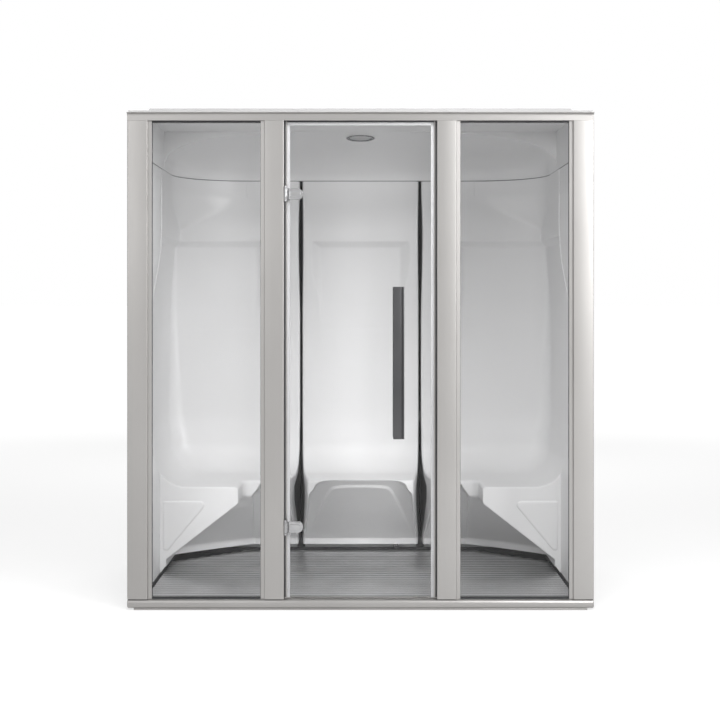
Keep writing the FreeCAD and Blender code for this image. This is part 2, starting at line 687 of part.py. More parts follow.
def recess_tool(behind, start, end, start_bevel, end_bevel):
    """Frustum that sinks the backrest's recess, bevelled where its border shows."""
    reach = m.run_back
    grow_z = m.recess_rise * reach / m.recess_depth
    grow_y = m.recess_bevel * reach / m.recess_depth
    low_u = -behind - m.recess_set * m.overrun / m.recess_foot
    floor = [(low_u, start - behind * start_bevel, m.recess_foot - behind),
             (low_u, end + behind * end_bevel, m.recess_foot - behind),
             (m.recess_set - behind, end + behind * end_bevel, m.recess_top + behind),
             (m.recess_set - behind, start - behind * start_bevel, m.recess_top + behind)]
    wide = [(low_u + reach, floor[0][1] - grow_y * start_bevel, floor[0][2] - grow_z),
            (low_u + reach, floor[1][1] + grow_y * end_bevel, floor[1][2] - grow_z),
            (floor[2][0] + reach, floor[2][1] + grow_y * end_bevel, floor[2][2] + grow_z),
            (floor[3][0] + reach, floor[3][1] - grow_y * start_bevel, floor[3][2] + grow_z)]
    wires = []
    for ring in (floor, wide):
        spots = [Vector(*spot) for spot in ring]
        wires.append(Part.makePolygon(spots + spots[:1]))
    return Part.makeLoft(wires, True, True)


def behind_flange(shape, low_y, high_y):
    """Trim a run at the flange plane."""
    keep = Part.makeBox(m.seat_reach + 2 * m.run_back, high_y - low_y, m.cabin_height,
                        Vector(-m.flange_back, low_y, 0))
    return shape.common(keep)


def flange_strip(start):
    """Upright bolting flange at the back of a seam."""
    return Part.makeBox(m.flange_back - m.flange_set, m.flange_width, m.module_top - m.tray_rim,
                        Vector(-m.flange_back, start, m.tray_rim))


def foot_strip(start, end):
    """Level foot that stands on the tray's rim."""
    return Part.makeBox(m.flange_back - m.flange_set, end - start, m.flange_width,
                        Vector(-m.flange_back, start, m.tray_rim))


def wall_run(length, above, seams, recess, end_wall):
    """One wall's moulding in its own frame: X into the room, Y along the wall."""
    outer = thick_run(0, length, above, seams[0], seams[1])
    inner = thick_run(m.module_gauge, length, above, seams[0], seams[1])
    if end_wall:
        inner = inner.cut(Part.makeBox(m.seat_reach * 2, m.end_gauge, m.cabin_height,
                                       Vector(-m.run_back, 0, 0)))
    outer = outer.cut(recess_tool(0, *recess))
    inner = inner.cut(recess_tool(m.module_gauge, *recess))
    below = Part.makeBox(m.toe_reach - m.module_gauge + m.run_back, length, m.overrun,
                         Vector(-m.run_back, 0, m.toe_bottom - m.overrun))
    shell = outer.cut(inner.fuse(below))
    return behind_flange(shell, 0, length)


def to_back_wall(shape, start_x):
    """Stand a run against the back wall, running to +X from start_x."""
    turned = shape.copy()
    turned.rotate(Vector(0, 0, 0), Vector(0, 0, 1), -90)
    turned.translate(Vector(start_x, rear_y, 0))
    return turned


def apron_tool(left):
    """Thin skin of the apron inside the centre module's leg panel."""
    spots = [(-m.apron_foot_half, m.apron_foot), (m.apron_foot_half, m.apron_foot),
             (m.apron_top_half, m.apron_top), (-m.apron_top_half, m.apron_top)]
    corners = [Vector(x, 0, z) for x, z in spots]
    edges = []
    rounds = {number: corner_arc(corners[number - 1], corners[number],
                                 corners[(number + 1) % 4], m.apron_round) for number in (2, 3)}
    edges.append(line(corners[0], corners[1]))
    edges.append(line(corners[1], rounds[2][0]))
    edges.append(arc(*rounds[2]))
    edges.append(line(rounds[2][2], rounds[3][0]))
    edges.append(arc(*rounds[3]))
    edges.append(line(rounds[3][2], corners[0]))
    prism = Part.Face(Part.Wire(edges)).extrude(Vector(0, m.seat_reach, 0))
    prism.translate(Vector(0, rear_y - m.seat_reach - m.overrun, 0))
    behind = to_back_wall(thick_run(m.apron_inset, m.centre_width, "curved", False, False), left)
    return prism.cut(behind)


def centre_module():
    """Backrest, seat and apron between the two seams."""
    length = m.centre_width - 2 * m.module_joint
    recess = (length / 2 - m.recess_half, length / 2 + m.recess_half, 1, 1)
    run = wall_run(length, "curved", (True, True), recess, False)
    run = run.fuse([flange_strip(0), flange_strip(length - m.flange_width), foot_strip(0, length)])
    shape = to_back_wall(run, m.module_joint - centre_half)
    shape = shape.cut(apron_tool(-centre_half)).cut(pipe_passage())
    solid_piece("centre_module", shape.removeSplitter())


def reach_above_shoulder(up):
    """How far the wall stands into the room at a share of the height above the shoulder."""
    run = m.head_bulge - m.top_reach
    rise = m.module_top - m.shoulder_height
    radius = (run ** 2 + rise ** 2) / (4 * run)
    bend = radius - math.sqrt(radius ** 2 - (min(up, 1 - up) * rise) ** 2)
    return m.head_bulge - bend if up < 0.5 else m.top_reach + bend


def seam_edge(reach):
    """Where the corner module's seam plane lies at a reach into the room."""
    return -centre_half - m.module_joint - seam_draft_share * (reach + m.run_back)


def upper_section(share):
    """Plan wire of a corner module's wall at one height above the shoulder."""
    up, growth = share
    z = m.shoulder_height + up * (m.module_top - m.shoulder_height)
    reach = reach_above_shoulder(up)
    gauge = m.module_gauge
    back = rear_y - reach
    side = m.head_bulge - wall_x
    turn = m.corner_tip + growth * (m.corner_round - m.corner_tip)
    tail = rear_y + m.flange_back
    start = front_y + m.module_front
    root = math.sqrt(0.5)
    turn_mid = Vector(side + turn - turn * root, back - turn + turn * root, z)
    turn_back = Vector(side + turn - (turn + gauge) * root, back - turn + (turn + gauge) * root, z)
    spots = [Vector(seam_edge(-m.flange_back), tail, z), Vector(seam_edge(reach), back, z),
             Vector(side + turn, back, z), Vector(side, back - turn, z), Vector(side, start, z),
             Vector(side - gauge, start, z), Vector(side - gauge, back - turn, z),
             Vector(side + turn, back + gauge, z),
             Vector(seam_edge(reach - gauge) - gauge, back + gauge, z),
             Vector(seam_edge(-m.flange_back) - gauge, tail, z)]
    return Part.Wire([line(spots[0], spots[1]), line(spots[1], spots[2]),
                      arc(spots[2], turn_mid, spots[3]), line(spots[3], spots[4]),
                      line(spots[4], spots[5]), line(spots[5], spots[6]),
                      arc(spots[6], turn_back, spots[7]), line(spots[7], spots[8]),
                      line(spots[8], spots[9]), line(spots[9], spots[0])])


def mitre_tool():
    """Everything on the side wall's side of the corner's mitre plane."""
    reach = 2 * m.seat_reach + m.run_back
    corner = Vector(-wall_x, rear_y, 0)
    out = Vector(-m.run_back, m.run_back, 0)
    spots = [corner + out, corner + Vector(reach, -reach, 0), corner + Vector(reach, -2 * m.module_depth, 0),
             corner + Vector(-m.run_back, -2 * m.module_depth, 0)]
    return Part.Face(Part.makePolygon(spots + spots[:1])).extrude(Vector(0, 0, m.cabin_height))


def diagonal_toe():
    """Facet and toe band that cut across the corner under the seat."""
    lip = Vector(m.seat_reach - m.module_gauge - wall_x, rear_y - m.seat_reach + m.module_gauge,
                 m.lip_bottom)
    back = Vector(-m.diagonal_back, rear_y - m.toe_reach + m.module_gauge, m.toe_top)
    side = Vector(m.toe_reach - m.module_gauge - wall_x, front_y + m.diagonal_side, m.toe_top)
    along = (side - back).normalize()
    behind = Vector(along.y, -along.x, 0) * m.module_gauge
    if behind.y < 0:
        behind = behind * -1
    facet = Part.Face(Part.makePolygon([lip, back, side, lip])).extrude(behind)
    band = Part.Face(Part.makePolygon([back, side, side + behind, back + behind, back]))
    return facet.fuse(band.extrude(Vector(0, 0, m.toe_bottom - m.toe_top)))


def end_panel_tool():
    """Triangular inset in the end face of the side seat."""
    spots = [Vector(m.inset_start, 0, m.inset_top), Vector(m.inset_end, 0, m.inset_top),
             Vector(m.inset_start + m.inset_foot_reach, 0, m.inset_foot),
             Vector(m.inset_start, 0, m.inset_foot)]
    bend = corner_arc(spots[0], spots[1], spots[2], m.inset_round)
    wire = Part.Wire([line(spots[0], bend[0]), arc(*bend), line(bend[2], spots[2]),
                      line(spots[2], spots[3]), line(spots[3], spots[0])])
    return Part.Face(wire).extrude(Vector(0, m.end_inset, 0))


def corner_module():
    """The left corner module; the right one is its mirror image."""
    back_length = wall_x - centre_half - m.module_joint + m.run_back
    recess = (m.recess_border, back_length + m.run_back, 1, 0)
    back = wall_run(back_length, "none", (True, False), recess, False)
    back = back.fuse([flange_strip(0), foot_strip(0, back_length - m.run_back)])
    back = back.mirror(Vector(0, 0, 0), Vector(0, 1, 0))
    back = to_back_wall(back, -centre_half - m.module_joint)
    side_length = m.module_depth - m.module_front + m.run_back
    side_recess = (m.recess_front, side_length + m.run_back, 1, 0)
    side = wall_run(side_length, "none", (False, False), side_recess, True)
    side = side.cut(end_panel_tool())
    side = side.fuse([flange_strip(0), foot_strip(0, side_length - m.run_back)])
    side.translate(Vector(-wall_x, front_y + m.module_front, 0))
    tool = mitre_tool()
    side = side.common(tool)
    back = back.cut(tool)
    upper = Part.makeLoft([upper_section(share) for share in shoulder_shares], True, True)
    shape = back.fuse([side, upper])
    shape = shape.fuse(diagonal_toe())
    keep = Part.makeBox(wall_x + m.flange_back - centre_half - m.module_joint,
                        m.module_depth + m.flange_back - m.module_front, m.cabin_height,
                        Vector(-wall_x - m.flange_back, front_y + m.module_front, 0))
    return shape.common(keep).removeSplitter()


def corner_modules():
    """Left and right corner modules."""
    left = corner_module()
    solid_piece("left_corner_module", left)
    solid_piece("right_corner_module", left.mirror(Vector(0, 0, 0), Vector(1, 0, 0)))


def liner():
    """Front wall liner on the left: follows the backrest above the seat, upright below it."""
    face, face_foot, face_top = backrest_edges(m.liner_behind, "straight")
    back, back_foot, back_top = backrest_edges(m.liner_behind + m.liner_gauge, "straight")
    low = Vector(m.liner_reach, 0, m.tray_rim)
    step = Vector(m.liner_reach, 0, m.liner_step)
    gauge = Vector(-m.liner_gauge, 0, 0)
    wire = Part.Wire([line(low, step), line(step, face_foot)] + face
                     + [line(face_top, back_top)] + back[::-1]
                     + [line(back_foot, step + gauge), line(step + gauge, low + gauge),
                        line(low + gauge, low)])
    start = m.frame_depth + m.module_joint
    shape = Part.Face(wire).extrude(Vector(0, m.module_front - m.module_joint - start, 0))
    shape.translate(Vector(-wall_x, front_y + start, 0))
    return shape


def liners():
    """Front wall liners, left and right."""
    left = liner()
    solid_piece("left_front_liner", left)
    solid_piece("right_front_liner", left.mirror(Vector(0, 0, 0), Vector(1, 0, 0)))


def dome_section(share, extra):
    """Plan outline of the half dome at one height; extra grows it to the hidden upper side."""
    wide = (1 - share ** dome_width_power_share) ** (1 / dome_width_power_share)
    deep = (1 - share ** dome_depth_power_share) ** (1 / dome_depth_power_share)
    side = (m.ceiling_half + extra) * wide
    near = front_y + m.spandrel_depth
    far = near + (m.module_depth - m.top_reach - m.spandrel_depth + extra) * deep
    turn = (m.corner_round + extra) * deep
    z = m.module_top + (m.ceiling_flat - m.module_top + extra) * share
    steps = int(m.dome_corner_count)
    swings = [math.pi / 2 * step / steps for step in range(steps + 1)]
    right = [Vector(side, near, z)]
    right += [Vector(side - turn * (1 - math.cos(swing)), far - turn * (1 - math.sin(swing)), z)
              for swing in swings]
    spots = right + [Vector(-spot.x, spot.y, spot.z) for spot in right[::-1]]
    return Part.makePolygon(spots + spots[:1])


def ceiling_form(extra):
    """The space under the ceiling, or with extra the same grown by the shell."""
    dome = Part.makeLoft([dome_section(share, extra) for share in dome_height_shares], True, True)
    start = front_y + m.frame_depth + m.module_joint
    width = 2 * (m.ceiling_half + extra)
    block = Part.makeBox(width, m.spandrel_depth + extra - m.frame_depth - m.module_joint,
                         m.ceiling_flat + extra - m.module_top,
                         Vector(-width / 2, start, m.module_top))
    return block.fuse(dome)


def lamp_frame():
    """Where the lamp sits in the dome, and the way it faces."""
    run = (m.lamp_depth - m.spandrel_depth) / (m.module_depth - m.spandrel_depth)
    rise = m.ceiling_flat - m.module_top
    height = m.module_top + rise * math.sqrt(1 - run ** 2)
    slope = rise * run / math.sqrt(1 - run ** 2) / (m.module_depth - m.spandrel_depth)
    tilt = math.atan(slope)
    down = Vector(0, -math.sin(tilt), -math.cos(tilt))
    return Vector(0, front_y + m.lamp_depth, height) + down * m.lamp_boss, down


def ceiling():
    """Ceiling shell with a hole for the lamp."""
    shell = ceiling_form(m.ceiling_gauge).cut(ceiling_form(0))
    rim = Part.makeBox(m.cabin_width, m.cabin_depth, m.seam_gauge,
                       Vector(-half_x, front_y, m.module_top))
    gasket = shell.common(rim)
    shell = shell.cut(rim)
    centre, down = lamp_frame()
    boss = Part.makeCylinder(m.lamp_radius, m.lamp_boss + m.ceiling_gauge / 2, centre, down * -1)
    hole = Part.makeCylinder(m.lamp_hole, m.lamp_hole, centre - down * (m.lamp_hole / 2), down)
    solid_piece("ceiling_shell", shell.fuse(boss).cut(hole).removeSplitter())
    solid_piece("ceiling_seal", gasket.removeSplitter())


def lamp():
    """Round lamp: bezel on the ceiling's boss, lens in it, driver above."""
    seat, down = lamp_frame()
    up = down * -1
    rim = Part.makeCylinder(m.lamp_radius, m.lamp_rim, seat, down)
    sleeve = Part.makeCylinder(m.lamp_hole - m.skin_gap, m.lamp_sleeve, seat, up)
    bore = Part.makeCylinder(m.lens_radius, m.lamp_rim + m.lamp_sleeve, seat + down * m.lamp_rim, up)
    solid_piece("lamp_bezel", rim.fuse(sleeve).cut(bore).removeSplitter())
    solid_piece("lamp_lens", Part.makeCylinder(m.lens_radius, m.lens_gauge, seat, up))
    driver = Part.makeBox(m.driver_length, m.driver_width, m.driver_height,
                          Vector(-m.driver_length / 2, -m.driver_width / 2, 0))
    driver.Placement = FreeCAD.Placement(seat + up * m.lens_gauge,
                                         FreeCAD.Rotation(Vector(0, 0, 1), up))
    solid_piece("lamp_driver", driver)


def outer_skins():
    """Side panels, back panel, rear posts, rear rails and the roof."""
    run = "cabin_depth - frame_depth - rear_post - 2 * skin_gap"
    for name, corner in (("left_side_panel", "-" + half), ("right_side_panel", half + " - side_gauge")):
        box(name, ("side_gauge", run, "header_top - panel_bottom"),
            (corner, front + " + frame_depth + skin_gap", "panel_bottom"))
    back_panel()
    for name, side in (("left_rear_post", -1), ("right_rear_post", 1)):
        def across(text):
            return text if side > 0 else "-(" + text + ")"
        section = [("0", "0"), ("0", "rear_post"), (across("-rear_post"), "rear_post"),
                   (across("-rear_post"), "rear_post - rear_post_wall"),
                   (across("-rear_post_wall"), "rear_post - rear_post_wall"),
                   (across("-rear_post_wall"), "0")]
        base = half if side > 0 else "-" + half
        padded(name, "XY_Plane", [section], "header_top", (base, "cabin_depth / 2 - rear_post", "0"))
    for name, low in (("lower_rear_rail", "panel_bottom"),
                      ("upper_rear_rail", "header_top - rear_rail_height")):
        box(name, ("cabin_width - 2 * rear_post - 2 * skin_gap", "rear_post - 2 * rear_post_wall",
                   "rear_rail_height"),
            ("rear_post + skin_gap - " + half, "cabin_depth / 2 - rear_post", low))


def roof():
    """Roof panel: a raised middle with a lower brim over the side panels."""
    rise = "cabin_height - header_top"
    low = "ceiling_flat + ceiling_gauge - header_top + skin_gap"
    corners = [("-" + half, "0"), ("-ceiling_half - ceiling_gauge - skin_gap", "0"),
               ("-ceiling_half - ceiling_gauge - skin_gap", low),
               ("ceiling_half + ceiling_gauge + skin_gap", low),
               ("ceiling_half + ceiling_gauge + skin_gap", "0"), (half, "0"),
               (half, rise + " - roof_slope"), ("roof_half + roof_slope", rise + " - roof_slope"),
               ("roof_half", rise), ("-roof_half", rise),
               ("-roof_half - roof_slope", rise + " - roof_slope"),
               ("-" + half, rise + " - roof_slope")]
    padded("roof_panel", "XZ_Plane", [corners], "cabin_depth - frame_depth / 2",
           ("0", front + " + frame_depth / 2", "header_top"))


def tray():
    """Floor tray: sunk floor, rim for the modules, ribs below and a drain hole."""
    side = wall_x + m.flange_back
    back = m.module_depth + m.flange_back
    low = m.tray_floor
    rim = m.tray_rim
    block = Part.makeBox(2 * side, back - m.tray_front, rim, Vector(-side, front_y + m.tray_front, 0))
    inner_side = side - m.tray_rim_width
    well_depth = m.module_depth - m.overrun - m.tray_front
    well = Part.makeBox(2 * inner_side, well_depth, rim,
                        Vector(-inner_side, front_y + m.tray_front + m.tray_gauge, low + m.tray_gauge))
    uprights = [edge for edge in well.Edges if close_to(edge.Length, rim)]
    well = well.makeFillet(m.tray_corner, uprights)
    below = Part.makeBox(2 * (side - m.tray_gauge), back - m.tray_front - 2 * m.tray_gauge, low,
                         Vector(m.tray_gauge - side, front_y + m.tray_front + m.tray_gauge, 0))
    trench_high = rim - m.tray_gauge
    trench_width = m.tray_rim_width - 2 * m.tray_gauge
    trenches = [Part.makeBox(trench_width, back - m.tray_front - 2 * m.tray_gauge, trench_high,
                             Vector(start, front_y + m.tray_front + m.tray_gauge, 0))
                for start in (m.tray_gauge - side, side - m.tray_gauge - trench_width)]
    shape = block.cut(well).cut(below.fuse(trenches))
    span = 2 * (side - m.tray_rim_width)
    step = span / (m.rib_count - 1)
    for number in range(int(m.rib_count)):
        start = -span / 2 + number * step - m.rib_width / 2
        rib = Part.makeBox(m.rib_width, back - m.tray_front, low,
                           Vector(start, front_y + m.tray_front, 0))
        shape = shape.fuse(rib)
    centre = drain_centre()
    hole = Part.makeCylinder(m.drain_tail + m.drain_play, rim, Vector(centre.x, centre.y, 0))
    solid_piece("floor_tray", shape.cut(hole).removeSplitter())


def drain_centre():
    """The drain, midway between two bearers and near the back of the tray."""
    spread = 2 * m.grille_back_half - m.bearer_width
    return Vector(spread / (m.bearer_count - 1) / 2, rear_y - m.drain_back, 0)


def drain():
    """Drain fitting clamped in the tray, and the grate on it."""
    centre = drain_centre()
    floor = m.tray_floor + m.tray_gauge
    flange = Part.makeBox(2 * m.drain_radius, 2 * m.drain_radius, m.drain_lip,
                          Vector(centre.x - m.drain_radius, centre.y - m.drain_radius, floor))
    tail = Part.makeCylinder(m.drain_tail, floor - m.drain_lift, Vector(centre.x, centre.y, m.drain_lift))
    bore = Part.makeCylinder(m.drain_bore, m.tray_rim, Vector(centre.x, centre.y, 0))
    solid_piece("drain_fitting", flange.fuse(tail).cut(bore).removeSplitter())
    plate = Part.makeBox(2 * m.grate_half, 2 * m.grate_half, m.grate_gauge,
                         Vector(centre.x - m.grate_half, centre.y - m.grate_half, floor + m.drain_lip))
    pitch = m.grate_slot + m.grate_bar
    for number in range(int(m.grate_count)):
        start = centre.x + (number - m.grate_count / 2) * pitch + m.grate_bar / 2
        length = 2 * (m.grate_half - m.grate_bar)
        plate = plate.cut(Part.makeBox(m.grate_slot, length, m.tray_rim,
                                       Vector(start, centre.y - length / 2, 0)))
    solid_piece("drain_grate", plate)


def grille():
    """Slats across the floor, shortened along the diagonals, on bearers in the tray."""
    floor = m.tray_floor + m.tray_gauge
    top = floor + m.bearer_height
    slats = []
    count = int((m.grille_back - m.grille_front - m.slat_width) / m.slat_pitch) + 1
    lead = m.grille_half - m.grille_back_half
    for number in range(count):
        depth = m.grille_front + number * m.slat_pitch
        past = max(0, depth + m.slat_width - m.grille_side)
        end = m.grille_half - lead * past / (m.grille_back - m.grille_side)
        low = front_y + depth
        spots = [Vector(-end, low, top), Vector(-end, low, top + m.slat_height - m.slat_chamfer),
                 Vector(-end, low + m.slat_chamfer, top + m.slat_height),
                 Vector(-end, low + m.slat_width - m.slat_chamfer, top + m.slat_height),
                 Vector(-end, low + m.slat_width, top + m.slat_height - m.slat_chamfer),
                 Vector(-end, low + m.slat_width, top)]
        slats.append(Part.Face(Part.makePolygon(spots + spots[:1])).extrude(Vector(2 * end, 0, 0)))
    solid_piece("grille_slats", Part.makeCompound(slats))
    last = m.grille_front + (count - 1) * m.slat_pitch + m.slat_width
    spread = 2 * m.grille_back_half - m.bearer_width
    bearers = []
    for number in range(int(m.bearer_count)):
        start = -spread / 2 + number * spread / (m.bearer_count - 1) - m.bearer_width / 2
        bearers.append(Part.makeBox(m.bearer_width, last - m.grille_front, m.bearer_height,
                                    Vector(start, front_y + m.grille_front, floor)))
    for side in (-1, 1):
        start = side * (m.grille_half - m.bearer_width) - m.bearer_width / 2
        bearers.append(Part.makeBox(m.bearer_width, m.grille_side - m.grille_front, m.bearer_height,
                                    Vector(start, front_y + m.grille_front, floor)))
    solid_piece("grille_bearers", Part.makeCompound(bearers))


def hexagon(spot, radius, run):
    """A hexagonal bar with two level sides, from a spot along Y."""
    turns = [math.radians(turn) for turn in range(0, 360, 60)]
    corners = [spot + Vector(radius * math.cos(turn), 0, radius * math.sin(turn)) for turn in turns]
    return Part.Face(Part.makePolygon(corners + corners[:1])).extrude(Vector(0, run, 0))


def steam_line():
    """Steam pipe through the back panel to a head behind the toe band."""
    spot = Vector(m.steam_x, rear_y - m.head_back, m.steam_height)
    end = m.cabin_depth / 2 - spot.y
    pipe = Part.makeCylinder(m.pipe_radius, end, spot, Vector(0, 1, 0))
    bore = Part.makeCylinder(m.pipe_radius - m.pipe_wall, end, spot, Vector(0, 1, 0))
    solid_piece("steam_pipe", pipe.cut(bore))
    head = hexagon(spot, m.head_radius, -m.head_length)
    throat = Part.makeCylinder(m.mouth_radius, m.head_length, spot, Vector(0, -1, 0))
    solid_piece("steam_head", head.cut(throat))


def pipe_passage():
    """The round way that the steam pipe takes through a wall."""
    return Part.makeCylinder(m.pipe_radius + m.pipe_clear, m.cabin_depth,
                             Vector(m.steam_x, rear_y - m.overrun, m.steam_height), Vector(0, 1, 0))


def gland_spot():
    """Where the lamp's gland goes through the back panel, at its outer face."""
    return Vector(m.gland_x, m.cabin_depth / 2 - m.back_inset, m.gland_height)


def cable_gland():
    """Gland for the lamp's supply, clamped in the back panel."""
    spot = gland_spot()
    flange = hexagon(spot, m.gland_flange, m.gland_flange_gauge)
    barrel = Part.makeCylinder(m.gland_radius, m.gland_length, spot, Vector(0, -1, 0))
    bore = Part.makeCylinder(m.gland_bore, m.gland_length + m.gland_flange_gauge,
                             spot + Vector(0, m.gland_flange_gauge, 0), Vector(0, -1, 0))
    solid_piece("cable_gland", flange.fuse(barrel).cut(bore).removeSplitter())


def back_panel():
    """Back panel with its holes for the steam pipe and the gland."""
    sheet_box = box("back_sheet", ("cabin_width - 2 * rear_post - 2 * skin_gap", "back_gauge",
                                   "header_top - panel_bottom - 2 * rear_rail_height - 2 * skin_gap"),
                    ("rear_post + skin_gap - " + half, "cabin_depth / 2 - back_inset - back_gauge",
                     "panel_bottom + rear_rail_height + skin_gap"), keep=False)
    gland_hole = Part.makeCylinder(m.gland_radius, m.gland_length, gland_spot(), Vector(0, -1, 0))
    holes = doc.addObject("Part::Feature", "back_holes")
    holes.Shape = Part.makeCompound([pipe_passage(), gland_hole])
    cut("back_panel", sheet_box, holes)


def seam_plates():
    """Plates that join the modules' flanges behind both seams."""
    for name, side in (("left_seam_plate", -1), ("right_seam_plate", 1)):
        middle = "centre_width / 2 - seam_plate / 2" if side > 0 else "-centre_width / 2 - seam_plate / 2"
        box(name, ("seam_plate", "seam_plate_gauge", "module_top - tray_rim"),
            (middle, front + " + module_depth + flange_back", "tray_rim"))


def build():
    """Every piece of the cabin."""
    corner_posts()
    mullions()
    header()
    sill()
    levelling_strip()
    side_panes()
    door_seals()
    door_glass()
    hinges()
    handles()
    centre_module()
    corner_modules()
    liners()
    ceiling()
    lamp()
    outer_skins()
    roof()
    tray()
    drain()
    grille()
    steam_line()
    cable_gland()
    seam_plates()


def write_pieces():
    """Check every object, then write one file for each piece."""
    doc.recompute()
    for item in doc.Objects:
        if "Invalid" in item.State or "Error" in item.State:
            raise SystemExit("failed: " + item.Name)
    bad = [piece.Label for piece in pieces if piece.Shape.isNull() or not piece.Shape.isValid()]
    if bad:
        raise SystemExit("bad shapes: " + ", ".join(bad))
    os.makedirs("parts", exist_ok=True)
    for piece in pieces:
        piece.Shape.exportStep("parts/" + piece.Label + ".step")
    print(len(pieces), "pieces")


build()
write_pieces()
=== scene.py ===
import math
import bmesh
import bpy
import numpy as np
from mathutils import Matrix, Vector
from mathutils.geometry import tessellate_polygon


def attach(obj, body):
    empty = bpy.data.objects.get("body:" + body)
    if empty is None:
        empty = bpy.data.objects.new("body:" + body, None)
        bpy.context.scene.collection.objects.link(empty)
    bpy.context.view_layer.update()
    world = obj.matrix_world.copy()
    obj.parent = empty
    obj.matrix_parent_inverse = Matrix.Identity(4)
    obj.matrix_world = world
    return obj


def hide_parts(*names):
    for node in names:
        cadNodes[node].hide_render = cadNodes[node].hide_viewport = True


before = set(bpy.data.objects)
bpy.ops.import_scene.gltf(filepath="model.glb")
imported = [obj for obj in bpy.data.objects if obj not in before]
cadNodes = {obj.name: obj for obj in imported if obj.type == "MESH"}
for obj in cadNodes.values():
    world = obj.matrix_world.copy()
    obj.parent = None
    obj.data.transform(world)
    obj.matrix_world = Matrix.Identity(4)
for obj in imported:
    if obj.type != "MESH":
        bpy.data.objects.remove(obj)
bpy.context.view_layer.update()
scene = bpy.context.scene
print("frame loaded:", len(cadNodes), "nodes")

mm = 0.001  # every size below is in millimetres
frontFace = -625  # y of the frame's front
halfWidth = 975  # |x| of the cabin's sides
rearWall = 580  # y of the wall plane behind the seats
sideWall = 962  # |x| of the wall planes at the sides
glassFront, glassBack = -609, -601  # y of the door glass's two faces
sharpTurn = 38  # degrees: an edge that turns by more stays sharp


# A maximum whose crease is rounded over a width.
def softMax(a, b, width):
    return 0.5 * (a + b + np.sqrt((a - b) ** 2 + width ** 2))


# A minimum whose crease is rounded over a width.
def softMin(a, b, width):
    return 0.5 * (a + b - np.sqrt((a - b) ** 2 + width ** 2))


# 0 to 1 with level ends: three squares less two cubes.
def ramp(t):
    t = np.clip(t, 0, 1)
    return t * t * (3 - 2 * t)


# Points from one number to the next of a list, with a count for each stretch.
def stretches(ends, counts):
    parts = [np.linspace(a, b, n, endpoint=False) for a, b, n in zip(ends, ends[1:], counts)]
    return np.concatenate(parts + [[ends[-1]]])


# A polygon with tangent arcs at its corners: each arc is swung about the point
# on the corner's bisector that lies one radius from both sides.
def roundedLoop(corners, radii, steps=5):
    spot = np.array(corners, float)
    radius = np.broadcast_to(np.array(radii, float), (len(spot),))[:, None]
    before, after = np.roll(spot, 1, 0) - spot, np.roll(spot, -1, 0) - spot
    before /= np.linalg.norm(before, axis=1, keepdims=True)
    after /= np.linalg.norm(after, axis=1, keepdims=True)
    halfTurn = np.arccos(np.clip((before * after).sum(1, keepdims=True), -1, 1)) / 2
    bisector = before + after
    bisector /= np.linalg.norm(bisector, axis=1, keepdims=True)
    centre = spot + bisector * radius / np.sin(halfTurn)
    run = radius / np.tan(halfTurn)
    first, last = spot + before * run - centre, spot + after * run - centre
    sweep = (math.pi - 2 * halfTurn)[:, None]
    t = np.linspace(0, 1, steps + 1)[None, :, None]
    swing = (np.sin((1 - t) * sweep) * first[:, None] + np.sin(t * sweep) * last[:, None]) / np.sin(sweep)
    return (centre[:, None] + swing).reshape(-1, 2)


# A circle as a loop.
def circleLoop(x, y, radius, count=32):
    turn = np.linspace(0, 2 * math.pi, count, endpoint=False)
    return np.stack([x + radius * np.cos(turn), y + radius * np.sin(turn)], 1)


# A rectangle with rounded corners, as a loop.
def boxLoop(left, right, low, high, radii, steps=3):
    return roundedLoop([(left, low), (right, low), (right, high), (left, high)], radii, steps)


# A plate as a loop: a half circle for its right end, then a quarter circle at
# its top left corner and that quarter's mirror image below.
def stadiumLoop(left, reach, height, middle, corner=1.5):
    radius = height / 2
    turn = np.linspace(-math.pi / 2, math.pi / 2, 25)
    nose = np.stack([left + reach - radius + radius * np.cos(turn), middle + radius * np.sin(turn)], 1)
    turn = np.linspace(math.pi / 2, math.pi, 5)
    top = np.stack([left + corner + corner * np.cos(turn),
                    middle + radius - corner + corner * np.sin(turn)], 1)
    low = np.stack([top[::-1, 0], 2 * middle - top[::-1, 1]], 1)
    return np.concatenate([nose, top, low])


# The loop moved inwards: each point goes square to the line through its neighbours.
def insetLoop(loop, depth):
    if depth == 0:
        return loop
    along = np.roll(loop, -1, 0) - np.roll(loop, 1, 0)
    along /= np.maximum(np.linalg.norm(along, axis=1, keepdims=True), 1e-9)
    x, y = loop.T
    area = (x * np.roll(y, -1) - np.roll(x, -1) * y).sum()
    inwards = np.stack([-along[:, 1], along[:, 0]], 1) * np.sign(area)
    return loop + inwards * depth


# A grid of points from three coordinates, each stretched to the grid's size.
def surface(x, y, z):
    return np.stack(np.broadcast_arrays(x, y, z), -1)


# A flat loop stood in space at one height along an axis.
def standing(loop, axis, height):
    level = np.full(len(loop), float(height))
    a, b = loop.T
    order = {"x": (level, a, b), "y": (a, level, b), "z": (a, b, level)}[axis]
    return np.stack(order, 1)


# A grid of points as four-sided faces; its columns may close on themselves.
def gridPatch(points, closed=False):
    rows, columns = points.shape[:2]
    down = np.arange(rows - 1)
    across = np.arange(columns if closed else columns - 1)
    r, c = np.meshgrid(down, across, indexing="ij")
    beside = (c + 1) % columns
    faces = np.stack([r * columns + c, (r + 1) * columns + c,
                      (r + 1) * columns + beside, r * columns + beside], -1)
    return points.reshape(-1, 3), faces.reshape(-1, 4)


# Triangles that fill a flat loop, less the loops inside it.
def capPatch(loops):
    points = np.concatenate(loops)
    faces = tessellate_polygon([[Vector(spot) for spot in loop] for loop in loops])
    return points, np.array(faces)


